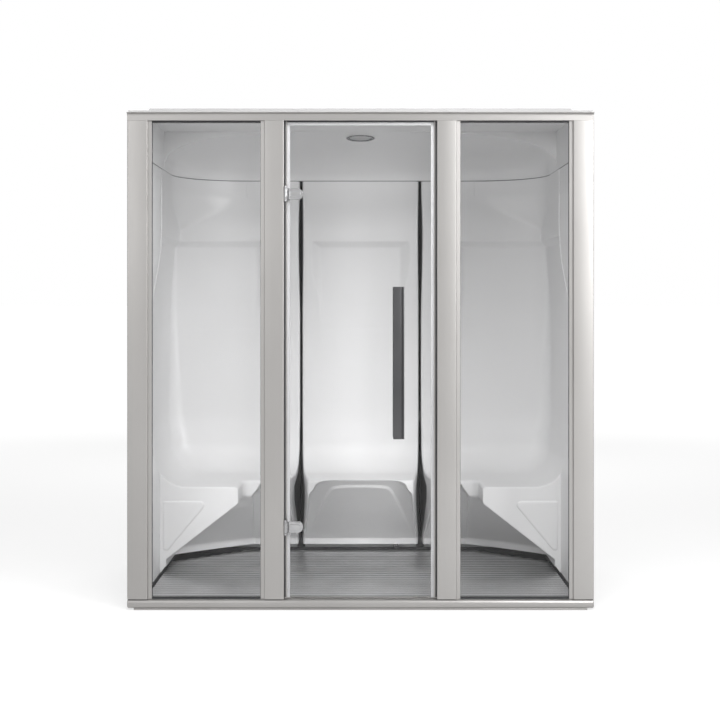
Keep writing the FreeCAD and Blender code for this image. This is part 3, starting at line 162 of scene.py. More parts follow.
# A loop carried along an axis, with its two ends rounded over and capped; the
# loops after the first are bores.
def extrusion(loops, axis, low, high, endRound=0.0):
    outer = loops[0]
    heights, insets = [low, high], [0.0, 0.0]
    if endRound:
        turn = np.linspace(0, math.pi / 2, 4)
        rise, inset = endRound * (1 - np.cos(turn)), endRound * (1 - np.sin(turn))
        heights = list(low + rise) + list(high - rise[::-1])
        insets = list(inset) + list(inset[::-1])
    rings = [standing(insetLoop(outer, inset), axis, height) for height, inset in zip(heights, insets)]
    patches = [gridPatch(np.stack(rings), True)]
    bores = [[standing(loop, axis, level) for level in (low, high)] for loop in loops[1:]]
    patches += [gridPatch(np.stack(bore), True) for bore in bores]
    for end in (0, -1):
        patches.append(capPatch([rings[end]] + [bore[end] for bore in bores]))
    return patches


# A profile of radius and height turned about an axis through a point.
def lathe(profile, centre, axis=(0, 0, 1), count=48, closed=False):
    axis = np.array(axis, float) / np.linalg.norm(axis)
    first = np.cross(axis, (1, 0, 0) if abs(axis[0]) < 0.9 else (0, 1, 0))
    first /= np.linalg.norm(first)
    second = np.cross(axis, first)
    turn = np.linspace(0, 2 * math.pi, count, endpoint=False)[None, :, None]
    profile = np.array(list(profile) + ([profile[0]] if closed else []), float)
    radius, height = profile[:, 0, None, None], profile[:, 1, None, None]
    spin = np.cos(turn) * first + np.sin(turn) * second
    return [gridPatch(np.array(centre, float) + radius * spin + height * axis, True)]


# Patches joined into one object: doubles merged, faces turned outwards or
# towards a point, and a thickness put behind them where one is given.
def makePiece(name, patches, look, slot, body="cabin", replaces=(), towards=None, thick=0.0):
    points, faces, start = [], [], 0
    for spots, polygons in patches:
        points.append(spots)
        faces += (np.asarray(polygons) + start).tolist()
        start += len(spots)
    mesh = bpy.data.meshes.new(name)
    mesh.from_pydata(np.concatenate(points) * mm, [], faces)
    shape = bmesh.new()
    shape.from_mesh(mesh)
    bmesh.ops.remove_doubles(shape, verts=shape.verts, dist=1e-5)
    bmesh.ops.dissolve_degenerate(shape, edges=shape.edges, dist=2e-6)
    bmesh.ops.recalc_face_normals(shape, faces=shape.faces)
    if towards is not None:
        target = Vector(towards) * mm
        facing = sum(f.normal.dot(target - f.calc_center_median()) * f.calc_area() for f in shape.faces)
        if facing < 0:
            bmesh.ops.reverse_faces(shape, faces=shape.faces)
    shape.to_mesh(mesh)
    shape.free()
    piece = bpy.data.objects.new(name, mesh)
    scene.collection.objects.link(piece)
    if thick:
        thicken = piece.modifiers.new("wall", "SOLIDIFY")
        thicken.thickness = thick * mm
        thicken.offset = -1
        solid = bpy.data.meshes.new_from_object(
            piece.evaluated_get(bpy.context.evaluated_depsgraph_get()))
        piece.modifiers.clear()
        piece.data = solid
        bpy.data.meshes.remove(mesh)
        solid.name = name
    piece.data.materials.clear()
    piece.data.materials.append(looks[look])
    piece.data.shade_smooth()
    piece.data.set_sharp_from_angle(angle=math.radians(sharpTurn))
    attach(piece, body)
    if replaces:
        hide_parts(*replaces)


# A patch list mirrored in the middle plane.
def mirrored(patches):
    return [(spots * np.array([-1, 1, 1]), np.asarray(faces)[:, ::-1]) for spots, faces in patches]


# A left piece and its mirror image on the right.
def makePair(ending, patches, look, slot, node="", **others):
    for side, own in (("left", patches), ("right", mirrored(patches))):
        nodes = [f"{side}_{node}"] if node else []
        makePiece(side + ending, own, look, slot, replaces=nodes, **others)


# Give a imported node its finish.
def dress(look, *names):
    for name in names:
        node = cadNodes[name]
        if not node.material_slots:
            node.data.materials.append(looks[look])
        for place in node.material_slots:
            place.link = "OBJECT"
            place.material = looks[look]


# Finishes


# Values on a node's own sockets.
def setSockets(node, values):
    for socket, value in values.items():
        node.inputs[socket].default_value = value


# A shader node or a node group, with values on some of its sockets.
def addNode(tree, kind, values=None, group=None):
    node = tree.nodes.new("ShaderNode" + kind)
    if group:
        node.node_tree = group
    setSockets(node, values or {})
    return node


# Links, each from a node's output to a node's input.
def connect(tree, *links):
    for source, output, target, entry in links:
        tree.links.new(source.outputs[output], target.inputs[entry])


# An empty node group, with the two nodes that carry its inputs and outputs.
def newGroup(name, inputs, outputs):
    group = bpy.data.node_groups.new(name, "ShaderNodeTree")
    for label, kind, value in inputs:
        socket = group.interface.new_socket(name=label, in_out="INPUT", socket_type="NodeSocket" + kind)
        socket.default_value = value
    for label, kind in outputs:
        group.interface.new_socket(name=label, in_out="OUTPUT", socket_type="NodeSocket" + kind)
    return group, group.nodes.new("NodeGroupInput"), group.nodes.new("NodeGroupOutput")


# Fine streaks or grain: noise stretched along one direction, mapped between two values.
def makeGrain():
    group, given, out = newGroup("grain", [
        ("Vector", "Vector", (0, 0, 0)), ("Stretch", "Vector", (1, 1, 1)), ("Scale", "Float", 200),
        ("Low", "Float", 0.2), ("High", "Float", 0.4)], [("Value", "Float"), ("Height", "Float")])
    stretch = addNode(group, "VectorMath")
    stretch.operation = "MULTIPLY"
    noise = addNode(group, "TexNoise", {"Detail": 4})
    spread = addNode(group, "MapRange", {"From Min": 0.3, "From Max": 0.7})
    connect(group, (given, "Vector", stretch, 0), (given, "Stretch", stretch, 1),
            (stretch, 0, noise, "Vector"), (given, "Scale", noise, "Scale"),
            (noise, "Fac", spread, "Value"), (given, "Low", spread, "To Min"),
            (given, "High", spread, "To Max"), (spread, "Result", out, "Value"),
            (noise, "Fac", out, "Height"))
    return group


# Slow drift of a colour between two shades, as in cast, coated or handled surfaces.
def makeDrift():
    group, given, out = newGroup("drift", [
        ("Vector", "Vector", (0, 0, 0)), ("Scale", "Float", 2.5),
        ("Dark", "Color", (0.7, 0.7, 0.7, 1)), ("Light", "Color", (0.8, 0.8, 0.8, 1))],
        [("Color", "Color"), ("Mask", "Float")])
    noise = addNode(group, "TexNoise", {"Detail": 2})
    spread = addNode(group, "MapRange", {"From Min": 0.35, "From Max": 0.65})
    mix = addNode(group, "Mix")
    mix.data_type = "RGBA"
    connect(group, (given, "Vector", noise, "Vector"), (given, "Scale", noise, "Scale"),
            (noise, "Fac", spread, "Value"), (spread, "Result", mix, "Factor"),
            (given, "Dark", mix, "A"), (given, "Light", mix, "B"), (mix, "Result", out, "Color"),
            (spread, "Result", out, "Mask"))
    return group


grain, drift = makeGrain(), makeDrift()
looks = {}  # each finish by its name


# A finish: two shades that drift, a roughness that streaks, and a fine relief.
def finish(name, dark, light, rough=(0.3, 0.4), metallic=0.0, stretch=(1, 1, 1), scale=200.0,
           driftScale=2.5, relief=0.05, reliefDepth=0.0002, coat=0.0, coatRough=0.05):
    look = looks[name] = bpy.data.materials.new(name)
    look.use_nodes = True
    tree = look.node_tree
    shader = tree.nodes["Principled BSDF"]
    setSockets(shader, {"Metallic": metallic, "IOR": 1.5, "Coat Weight": coat, "Coat Roughness": coatRough})
    place = addNode(tree, "TexCoord")
    shades = addNode(tree, "Group", {"Scale": driftScale, "Dark": (*dark, 1), "Light": (*light, 1)}, drift)
    streaks = addNode(tree, "Group", {"Stretch": stretch, "Scale": scale, "Low": rough[0],
                                      "High": rough[1]}, grain)
    bump = addNode(tree, "Bump", {"Strength": relief, "Distance": reliefDepth})
    connect(tree, (place, "Object", shades, "Vector"), (place, "Object", streaks, "Vector"),
            (shades, "Color", shader, "Base Color"), (streaks, "Value", shader, "Roughness"),
            (streaks, "Height", bump, "Height"), (bump, "Normal", shader, "Normal"))


# A tree's output: the first shader, and the second for rays of the named kinds.
def splitByRay(tree, rays, first, second, output):
    path = addNode(tree, "LightPath")
    chosen = path.outputs[rays[0]]
    for ray in rays[1:]:
        either = addNode(tree, "Math")
        either.operation = "MAXIMUM"
        tree.links.new(chosen, either.inputs[0])
        tree.links.new(path.outputs[ray], either.inputs[1])
        chosen = either.outputs[0]
    mix = addNode(tree, "MixShader")
    tree.links.new(chosen, mix.inputs["Fac"])
    connect(tree, (first, 0, mix, 1), (second, 0, mix, 2), (mix, 0, tree.nodes[output], "Surface"))


# Clear glass that lets the lamps reach what is behind it.
def glassFinish(name, tint):
    finish(name, tint, tint, (0.0, 0.01), scale=3, relief=0.0)
    tree = looks[name].node_tree
    shader = tree.nodes["Principled BSDF"]
    setSockets(shader, {"Transmission Weight": 1, "IOR": 1.25})
    passing = addNode(tree, "BsdfTransparent", {"Color": (*tint, 1)})
    splitByRay(tree, ("Is Shadow Ray", "Is Diffuse Ray"), shader, passing, "Material Output")


upright, level = (60, 60, 0.6), (0.6, 60, 60)  # grain that runs along z, and along x
# name, dark and light shade, lowest and highest roughness, metallic, stretch and scale of
# the grain, scale of the drift, strength of the relief and its depth in metres
finish("frameUpright", (0.37, 0.36, 0.351), (0.41, 0.40, 0.391), (0.36, 0.46), 1.0, upright, 12, 1.2,
       0.12, 0.00008)
# frameLevel is a touch darker than frameUpright: painted shade, set against the brighter light that the
# sill's top reflects; its grain runs along x
finish("frameLevel", (0.36, 0.35, 0.342), (0.40, 0.39, 0.381), (0.34, 0.44), 1.0, level, 12, 1.2, 0.12,
       0.00008)
glassFinish("paneGlass", (0.984, 0.984, 0.985))
finish("gasketRubber", (0.025, 0.026, 0.028), (0.04, 0.041, 0.044), (0.5, 0.65), scale=400)
finish("doorSeal", (0.50, 0.50, 0.51), (0.56, 0.56, 0.57), (0.35, 0.45), scale=300)
finish("hingeChrome", (0.36, 0.36, 0.365), (0.43, 0.43, 0.435), (0.12, 0.22), 1.0, scale=30,
       driftScale=20, relief=0.02)
finish("fixingSteel", (0.55, 0.55, 0.56), (0.66, 0.66, 0.67), (0.25, 0.38), 1.0, scale=150)
finish("handleGraphite", (0.085, 0.085, 0.088), (0.11, 0.11, 0.114), (0.30, 0.42), 1.0, upright, 16, 3,
       0.1, 0.00008)
finish("mouldedAcrylic", (0.775, 0.775, 0.778), (0.81, 0.81, 0.813), (0.34, 0.44), scale=7,
       driftScale=1.1, relief=0.08, reliefDepth=0.001, coat=0.12, coatRough=0.18)
# near-black: the seal parts' own colour, and painted shade where it lines the deep seams
finish("seamSealant", (0.045, 0.045, 0.048), (0.07, 0.07, 0.073), (0.3, 0.4), scale=300)
finish("lampRim", (0.16, 0.16, 0.165), (0.22, 0.22, 0.225), (0.2, 0.3), 1.0, scale=80)
finish("lampLens", (0.40, 0.405, 0.41), (0.48, 0.485, 0.49), (0.25, 0.4), scale=260, relief=0.3,
       coat=0.3)
finish("darkPlastic", (0.05, 0.05, 0.055), (0.07, 0.07, 0.075), (0.4, 0.55), scale=500, relief=0.2)
finish("coatedSheet", (0.74, 0.745, 0.75), (0.78, 0.785, 0.79), (0.38, 0.5), scale=350, relief=0.12)
finish("roofSheet", (0.40, 0.40, 0.40), (0.44, 0.44, 0.44), (0.45, 0.6), scale=350, relief=0.12)
finish("trayAcrylic", (0.05, 0.05, 0.052), (0.07, 0.07, 0.072), (0.4, 0.55), scale=300, relief=0.1)
finish("slatAluminium", (0.58, 0.58, 0.585), (0.68, 0.68, 0.685), (0.28, 0.40), 0.85, level, 14, 6, 0.15,
       0.0001)
finish("drainSteel", (0.6, 0.6, 0.61), (0.7, 0.7, 0.71), (0.2, 0.32), 1.0, scale=120)
print("finishes made:", len(looks))

# Front frame

posts = {"width": 86, "depth": 60, "skin": 2.5, "edge": 4, "lip": 16, "low": 46, "high": 2046}
mullions = {"opening": 319.5, "width": 82.5, "stop": 24}
pane = {"front": 12, "behind": 29, "gauge": 3, "radii": [0.4, 0.8, 0.8, 0.4]}  # lips, from the frame's face
header = {"lip": 2038, "low": 2046, "brow": 2077, "top": 2080, "proud": 12, "cove": 10.8}
sill = {"low": 8, "top": 46, "lip": 51, "proud": 4, "round": 15, "ends": 5}
strip = {"front": 4, "back": 49, "half": 948}


# Plan loop of an upright, with x counted from its plain side: a box, two lips
# that hold a pane and, where asked for, one more behind the door's edge.
def uprightLoop(width, stop):
    a, b, g, lip, deep = pane["front"], pane["behind"], pane["gauge"], posts["lip"], posts["depth"]
    corners = [(0, 0), (width, 0), (width, a), (width + lip, a), (width + lip, a + g), (width, a + g),
               (width, b), (width + lip, b), (width + lip, b + g), (width, b + g), (width, deep),
               (0, deep)]
    radii = [posts["edge"]] * 2 + pane["radii"] * 2 + [1, 1]
    if stop:
        corners += [(0, b + g), (-stop, b + g), (-stop, b), (0, b)]
        radii += pane["radii"]
    return roundedLoop(corners, radii)


# The hollow of an upright, one skin in from its sides.
def hollowLoop(width):
    skin = posts["skin"]
    return boxLoop(skin, width - skin, skin, posts["depth"] - skin, 1.5)


# Posts are counted inwards from the cabin's sides, mullions outwards from the door's opening.
def buildUprights():
    for kind, spot, way, width, stop in (("post", halfWidth, -1, posts["width"], 0),
                                         ("mullion", mullions["opening"], 1, mullions["width"],
                                          mullions["stop"])):
        for name, side in (("left", -1), ("right", 1)):
            shift, turn = np.array([spot * side, frontFace]), np.array([way * side, 1])
            loops = [loop * turn + shift for loop in (uprightLoop(width, stop), hollowLoop(width))]
            makePiece(f"{name}{kind}Profile", extrusion(loops, "z", posts["low"], posts["high"]),
                      "frameUpright", "frame", replaces=[f"{name}_{kind}"])


# Lips of the header or sill that the panes and door stand against, between the uprights.
def stopLips(low, high):
    front = frontFace + pane["behind"]
    loop = boxLoop(front, front + pane["gauge"], low, high, 0.8)
    door = mullions["opening"] - mullions["stop"]
    near = mullions["opening"] + mullions["width"] + posts["lip"]
    far = halfWidth - posts["width"] - posts["lip"]
    spans = [(-far, -near), (-door, door), (near, far)]
    return [patch for a, b in spans for patch in extrusion([loop], "x", a, b)]


# Rails across the front: a header whose brow stands out over a cove, a sill with
# a rounded nose, and the strip that it is levelled on.
def buildHeaderAndSill():
    front, back = frontFace, frontFace + posts["depth"]
    brow, nose = front - header["proud"], front - sill["proud"]
    loop = roundedLoop([(front, header["low"]), (front, header["brow"]), (brow, header["brow"]),
                        (brow, header["top"]), (back, header["top"]), (back, header["low"])],
                       [1.2, header["cove"], 0.7, 1.2, 1, 1], 10)
    rail = extrusion([loop], "x", -halfWidth, halfWidth) + stopLips(header["lip"], header["low"])
    makePiece("headerProfile", rail, "frameLevel", "frame", replaces=["header_cornice"])
    loop = roundedLoop([(nose, sill["low"]), (nose, sill["top"]), (back, sill["top"]),
                        (back, sill["low"])], [sill["round"], sill["round"], 1, 1], 14)
    rail = extrusion([loop], "x", -halfWidth, halfWidth, sill["ends"])
    makePiece("sillProfile", rail + stopLips(sill["top"], sill["lip"]), "frameLevel", "frame",
              replaces=["sill_rail"])
    loop = boxLoop(front + strip["front"], front + strip["back"], 0, sill["low"], 1)
    makePiece("levellingStrip", extrusion([loop], "x", -strip["half"], strip["half"], 1),
              "frameLevel", "frame", replaces=["levelling_strip"])


buildUprights()
buildHeaderAndSill()
print("front frame built")

# Panes, gaskets and door seals

dress("paneGlass", "left_side_glass", "right_side_glass", "door_glass")
dress("gasketRubber", "left_glazing_gasket", "right_glazing_gasket")
doorSeal = {"front": -600.7, "back": -596, "inner": 295.5, "outer": 307.5, "low": 51, "high": 2038,
            "headLow": 2028, "headHigh": 2040.4, "bead": 0.9, "heel": 0.3, "channel": 1.6}
gapGasket = {"inner": 313.8, "outer": 319.2, "front": -601.4, "back": -597, "low": 51, "high": 2045.8,
             "headLow": 2040.8, "headFront": -605, "headHalf": 307.4}


# Section of a jamb seal: a rounded bead in each outer third and a shallow channel between.
def sealLoop(inner, outer):
    a, b = doorSeal["front"], doorSeal["back"]
    bead, heel, floor = doorSeal["bead"], doorSeal["heel"], a + doorSeal["channel"]
    third = (outer - inner) / 3
    return roundedLoop([(inner, b), (inner, a), (inner + third, a), (inner + third * 1.3, floor),
                        (outer - third * 1.3, floor), (outer - third, a), (outer, a), (outer, b)],
                       [heel, bead, bead, 0.5, 0.5, bead, bead, heel], 4)


# The two jamb seals and the plain one along the header.
def buildDoorSeals():
    inner, outer, bead, heel = (doorSeal[key] for key in ("inner", "outer", "bead", "heel"))
    for kind, side in (("hinge", -1), ("latch", 1)):
        loop = sealLoop(side * outer, side * inner)
        makePiece(f"{kind}SideSeal", extrusion([loop], "z", doorSeal["low"], doorSeal["high"], 0.4),
                  "doorSeal", "gaskets", replaces=[f"{kind}_side_seal"])
    loop = boxLoop(doorSeal["front"], doorSeal["back"], doorSeal["headLow"], doorSeal["headHigh"],
                   [bead, heel, heel, bead], 4)
    makePiece("headSeal", extrusion([loop], "x", -outer, outer, 0.4), "doorSeal", "gaskets",
              replaces=["head_seal"])


# Near-black strips on the jambs and header, seen through the gap round the door and drawn as gaskets:
# painted shade for the dark gap there.
def buildGapShadeGaskets():
    front, back, low, high = (gapGasket[key] for key in ("front", "back", "low", "high"))
    patches = []
    for side in (-1, 1):
        a, b = sorted((side * gapGasket["inner"], side * gapGasket["outer"]))
        patches += extrusion([boxLoop(a, b, front, back, 0.5)], "z", low, high, 0.3)
    loop = boxLoop(gapGasket["headFront"], back, gapGasket["headLow"], high, 0.5)
    patches += extrusion([loop], "x", -gapGasket["headHalf"], gapGasket["headHalf"], 0.3)
    # painted shade: these near-black strips darken the gap round the door
    makePiece("gapShadeGaskets", patches, "gasketRubber", "gaskets")


buildDoorSeals()
buildGapShadeGaskets()

# Hinges

hinge = {"heights": (1740, 346), "pinX": -312.5, "pinY": -627, "knuckle": 5.8, "height": 46,
         "bracket": 65, "play": 0.3, "left": -307, "reach": 67, "front": -619, "border": 9,
         "coverFront": -620.4, "coverCorner": 8, "innerReach": 50, "innerBack": -595}
hingeLeaf = {"left": -319.5, "right": -317.6, "back": -601}
hingeArm = {"corners": [(-312.5, -632.4), (-305.5, -629), (-299, -619.2), (-299, -611), (-306.4, -611),
                        (-312.5, -621.6)], "radii": [1, 3, 2, 0.5, 0.5, 1]}


# A round knuckle whose two ends are softened.
def knuckle(low, high):
    return extrusion([circleLoop(hinge["pinX"], hinge["pinY"], hinge["knuckle"])], "z", low, high, 0.8)


# Each hinge: a clamp with a cover, a knuckle and the arm that joins them, on the
# door; two more knuckles on a leaf, on the jamb; and a clamp plate inside.
def buildHinges():
    left, reach, height, border = (hinge[key] for key in ("left", "reach", "height", "border"))
    innerLeft = left + reach - hinge["innerReach"]
    half, span = height / 2, hinge["bracket"] / 2
    arm = roundedLoop(hingeArm["corners"], hingeArm["radii"], 4)
    leaf = boxLoop(hingeLeaf["left"], hingeLeaf["right"], hinge["pinY"], hingeLeaf["back"], 0.4)
    clamps, covers, brackets, plates = [], [], [], []
    for z in hinge["heights"]:
        plate = stadiumLoop(left, reach, height, z)
        cover = stadiumLoop(left + border, reach - 2 * border, height - 2 * border, z, hinge["coverCorner"])
        inner = stadiumLoop(innerLeft, hinge["innerReach"], height, z)
        clamps += extrusion([plate], "y", hinge["front"], glassFront, 1.4)
        clamps += knuckle(z - half, z + half) + extrusion([arm], "z", z - half + 0.5, z + half - 0.5, 0.6)
        covers += extrusion([cover], "y", hinge["coverFront"], hinge["front"] + 1, 0.9)
        for low, high in ((z - span, z - half - hinge["play"]), (z + half + hinge["play"], z + span)):
            brackets += knuckle(low, high)
        brackets += extrusion([leaf], "z", z - span, z + span, 0.3)
        plates += extrusion([inner], "y", glassBack, hinge["innerBack"], 1.2)
    makePiece("hingeClamps", clamps + covers, "hingeChrome", "hinge_metal", "door", ["hinge_clamps"])
    makePiece("hingeBrackets", brackets, "hingeChrome", "hinge_metal", "cabin", ["hinge_brackets"])
    makePiece("innerClamps", plates, "hingeChrome", "hinge_metal", "door", ["inner_clamps"])
    dress("fixingSteel", "hinge_pins", "clamp_bolts", "handle_studs")


buildHinges()
print("hinges built")

# Handles

handle = {"left": 136, "right": 182, "low": 718, "high": 1351, "standoff": 28, "gauge": 22,
          "groove": 6, "fin": 7, "deep": 8, "centre": 159, "ends": 70, "bore": 4, "post": 8, "rose": 11,
          "soft": 0.8}


# Plan loop of the bar: a broad face, one groove and a narrow fin.
def handleLoop(glass, way):
    near, far = glass + way * handle["standoff"], glass + way * (handle["standoff"] + handle["gauge"])
    floor = far - way * handle["deep"]
    fin, groove = handle["right"] - handle["fin"], handle["right"] - handle["fin"] - handle["groove"]
    return roundedLoop([(handle["left"], near), (handle["right"], near), (handle["right"], far),
                        (fin, far), (fin, floor), (groove, floor), (groove, far),
                        (handle["left"], far)], [1.5, 1.5, 2.4, 2.4, 1, 1, 1, 2.4])


# Each handle: the bar, and two round posts that spread into a rose on the glass.
def buildHandles():
    bore, post, rose, soft = (handle[key] for key in ("bore", "post", "rose", "soft"))
    reach = handle["standoff"] + 1
    profile = [(bore, 0), (rose - soft, 0), (rose, soft), (rose, 2), (rose - soft, 2.8),
               (post + soft, 3), (post, 4), (post, reach), (bore, reach)]
    for name, glass, way in (("outer_handle", glassFront, -1), ("inner_handle", glassBack, 1)):
        patches = extrusion([handleLoop(glass, way)], "z", handle["low"], handle["high"], 1.1)
        for z in (handle["low"] + handle["ends"], handle["high"] - handle["ends"]):
            patches += lathe(profile, (handle["centre"], glass, z), (0, way, 0), 40, True)
        makePiece(name.replace("_h", "H"), patches, "handleGraphite", "handle_metal", "door", [name])


buildHandles()
print("handles built")

# Moulded wall and seat modules

wall = {"top": 1898, "shoulder": 1640, "bulge": 52, "topReach": 8, "waistTop": 1146,
        "waistLow": 722, "footReach": 15, "foot": 588, "cove": 150, "seat": 438, "reach": 401,
        "nose": 14, "lip": 361, "knee": 20, "toeReach": 70, "toeTop": 104, "toeLow": 74, "heel": 15,
        "gauge": 6, "flange": -7.5}
recess = {"set": 26, "top": 1564, "foot": 1150, "topSlope": 0.9, "sideSlope": 0.5, "soft": 2,
          "half": 200, "stop": -520, "front": -10, "deepIn": -400}
seam = {"line": 300, "gap": 0.5, "draft": 0.1, "root": 60, "edge": 11, "turns": 6, "cheeks": 8}
roomMiddle, farInFront = (0, -400, 1200), (0, -4000, 1200)
# spacing of the backrest's rows, closer at both ends of the recess
backRows = {"stops": [wall["top"], 1600, 1545, 1200, 1120, wall["foot"]],
            "counts": [30, 20, 16, 12, 26]}
# heights where a seam's cheek or an end face meets the wall, by the length below the backrest
tailStops = {"lengths": [0, 236, 480, 580, 1000, 1040],
             "heights": [wall["foot"], 425, 330, 250, 100, wall["toeLow"]]}


# Two tangent arcs that shift an upright line sideways by run over rise.
def bend(share, run, rise):
    radius = (run ** 2 + rise ** 2) / (4 * run)
    share = np.clip(share, 0, 1)
    low = radius - np.sqrt(radius ** 2 - (np.minimum(share, 1 - share) * rise) ** 2)
    return np.where(share < 0.5, low, run - low)


# How far the backrest stands into the room at a height.
def backReach(z):
    head = wall["bulge"] - bend((z - wall["shoulder"]) / (wall["top"] - wall["shoulder"]),
                                wall["bulge"] - wall["topReach"], wall["top"] - wall["shoulder"])
    chest = bend((z - wall["waistTop"]) / (wall["shoulder"] - wall["waistTop"]), wall["bulge"],
                 wall["shoulder"] - wall["waistTop"])
    foot = bend((wall["waistLow"] - z) / (wall["waistLow"] - wall["foot"]), wall["footReach"],
                wall["waistLow"] - wall["foot"])
    return np.where(z > wall["shoulder"], head, np.where(z > wall["waistTop"], chest, foot))


# The backrest with its recess: the least of the wall and a leaning plane whose
# borders slope back out; beyond is how far a point lies past the recess's side.
def recessedReach(z, beyond):
    soft, slope = recess["soft"], recess["topSlope"]
    share = np.clip((z - recess["foot"]) / (recess["top"] - recess["foot"]), 0, None)
    plane = recess["set"] * share ** 1.8
    top = recess["set"] + (z - recess["top"]) * slope
    side, foot = plane + beyond * recess["sideSlope"], (recess["foot"] - z) * slope
    floor = softMax(softMax(plane, top, soft), softMax(side, foot, soft), soft)
    return softMin(backReach(z), floor, soft)


# An arc about a centre, by angles in degrees, as rows of reach and height.
def arcRows(centre, radius, start, end, count):
    turn = np.radians(np.linspace(start, end, count))
    return np.stack([centre[0] + radius * np.cos(turn), centre[1] + radius * np.sin(turn)], 1)


# Profile rows from the top of the backrest down to the toe: reach and height.
def profileRows():
    heights = stretches(backRows["stops"], backRows["counts"])
    back = np.stack([backReach(heights), heights], 1)
    coveX, coveZ = wall["footReach"] + wall["cove"], wall["seat"] + wall["cove"]
    cove = arcRows((coveX, coveZ), wall["cove"], 180, 270, 19)[1:]
    drop, run = wall["lip"] - wall["toeTop"], wall["reach"] - wall["toeReach"]
    slant = math.degrees(math.atan2(drop, run))
    nose = arcRows((wall["reach"] - wall["nose"], wall["seat"] - wall["nose"]), wall["nose"], 90, 0, 8)
    kneeRun = wall["knee"] * math.tan(math.radians((90 - slant) / 2))
    knee = arcRows((wall["reach"] - wall["knee"], wall["lip"] + kneeRun), wall["knee"], 0, slant - 90, 8)
    heelRun = wall["heel"] * math.tan(math.radians((90 - slant) / 2))
    heel = arcRows((wall["toeReach"] + wall["heel"], wall["toeTop"] - heelRun), wall["heel"],
                   90 + slant, 180, 6)
    seat = np.linspace(cove[-1], nose[0], 12)[1:-1]
    lip = np.linspace(nose[-1], knee[0], 16)[1:-1]
    apron = np.linspace(knee[-1], heel[0], 60)[1:-1]
    toe = np.linspace(heel[-1], (wall["toeReach"], wall["toeLow"]), 4)[1:]
    rows = np.concatenate([back, cove, seat, nose, lip, knee, apron, heel, toe])
    return rows, len(back)


rows, backCount = profileRows()
rowLength = np.concatenate([[0], np.cumsum(np.linalg.norm(np.diff(rows, axis=0), axis=1))])
rowAlong = np.stack([np.gradient(rows[:, 0], rowLength), np.gradient(rows[:, 1], rowLength)], 1)
rowAlong /= np.linalg.norm(rowAlong, axis=1, keepdims=True)
rowNormal = np.stack([-rowAlong[:, 1], rowAlong[:, 0]], 1)  # into the room
rowReach, rowHeight = rows[:, 0], rows[:, 1]
isBack = np.arange(len(rows)) < backCount
# the same as columns, to be combined with the points along a row
columnReach, columnHeight, columnIsBack = rowReach[:, None], rowHeight[:, None], isBack[:, None]
tailHeight = np.where(isBack, rowHeight, np.interp(
    rowLength, rowLength[backCount - 1] + np.array(tailStops["lengths"]), tailStops["heights"]))


# Columns that turn round an edge and run back to the wall: for each row, reach,
# height and how far past the face's last column they lie.
def endColumns(edge, tail, turns, cheeks, face=None, lean=None):
    face = rowReach if face is None else face
    lean = rowNormal if lean is None else lean
    turn = np.linspace(0, math.pi / 2, turns)[1:]
    out = edge * np.sin(turn)[None, :]
    sunk = edge * (1 - np.cos(turn))[None, :]
    reach = face[:, None] - lean[:, :1] * sunk
    height = rowHeight[:, None] - lean[:, 1:] * sunk
    share = np.linspace(0, 1, cheeks + 1)[None, 1:]
    reachTail = reach[:, -1:] + (tail[:, None] - reach[:, -1:]) * share
    heightTail = height[:, -1:] + (tailHeight[:, None] - height[:, -1:]) * share
    return (np.concatenate([reach, reachTail], 1), np.concatenate([height, heightTail], 1),
            np.concatenate([np.broadcast_to(out, reach.shape), np.full(reachTail.shape, edge)], 1))


seamTail = np.minimum(wall["flange"], rowReach - seam["edge"] - 0.5)


# How far a module's edge stands back from the seam's line: a draft that grows
# with its reach, and the width of the rounded edge that isn't yet passed.
def seamSpread(reach, past=0):
    return seam["draft"] * (reach + seam["root"]) + seam["edge"] - past


# The rounded edge and cheek beside a seam.
def seamColumns():
    return endColumns(seam["edge"], seamTail, seam["turns"], seam["cheeks"])


legCut = {"slope": 0.97, "top": 446, "half": 238, "round": 60, "edge": 7, "soft": 4, "part": 395,
          "spread": 0.6}
legPanel = {"foot": 120, "top": 415, "footHalf": 270, "topHalf": 148, "round": 30, "rise": 8, "edge": 10,
            "fade": 190, "below": 433}


# The space for the heels: a leaning plane from the toe up to the seat's nose cuts
# the lip away inside an arch, whose sides part below its head; inside is how far
# a point lies within them.
def heelSpace(reach, height, inside):
    plane = wall["toeReach"] + np.maximum(height - wall["toeTop"], 0) * legCut["slope"]
    inside = inside + np.maximum(legCut["part"] - height, 0) * legCut["spread"]
    arch = softMin(inside, legCut["top"] - height, legCut["round"])
    share = ramp(arch / legCut["edge"] + 0.5)
    return reach - (reach - softMin(reach, plane, legCut["soft"])) * share


# How far the leg panel stands out: a trapezoid's inner distance, ramped over its
# edge, and faded in from its foot.
def panelRise(across, height):
    up = height - legPanel["foot"]
    lean = (legPanel["footHalf"] - legPanel["topHalf"]) / (legPanel["top"] - legPanel["foot"])
    side = (legPanel["footHalf"] - up * lean - np.abs(across)) / math.hypot(1, lean)
    inside = softMin(side, legPanel["top"] - height, legPanel["round"])
    return legPanel["rise"] * ramp(inside / legPanel["edge"]) * ramp(up / legPanel["fade"])


# spacing of the columns: from the middle to the edge, closer where the recess ends
centre = {"stops": [0, 110, 245, 262, 276, 282], "counts": [8, 30, 4, 8, 2]}


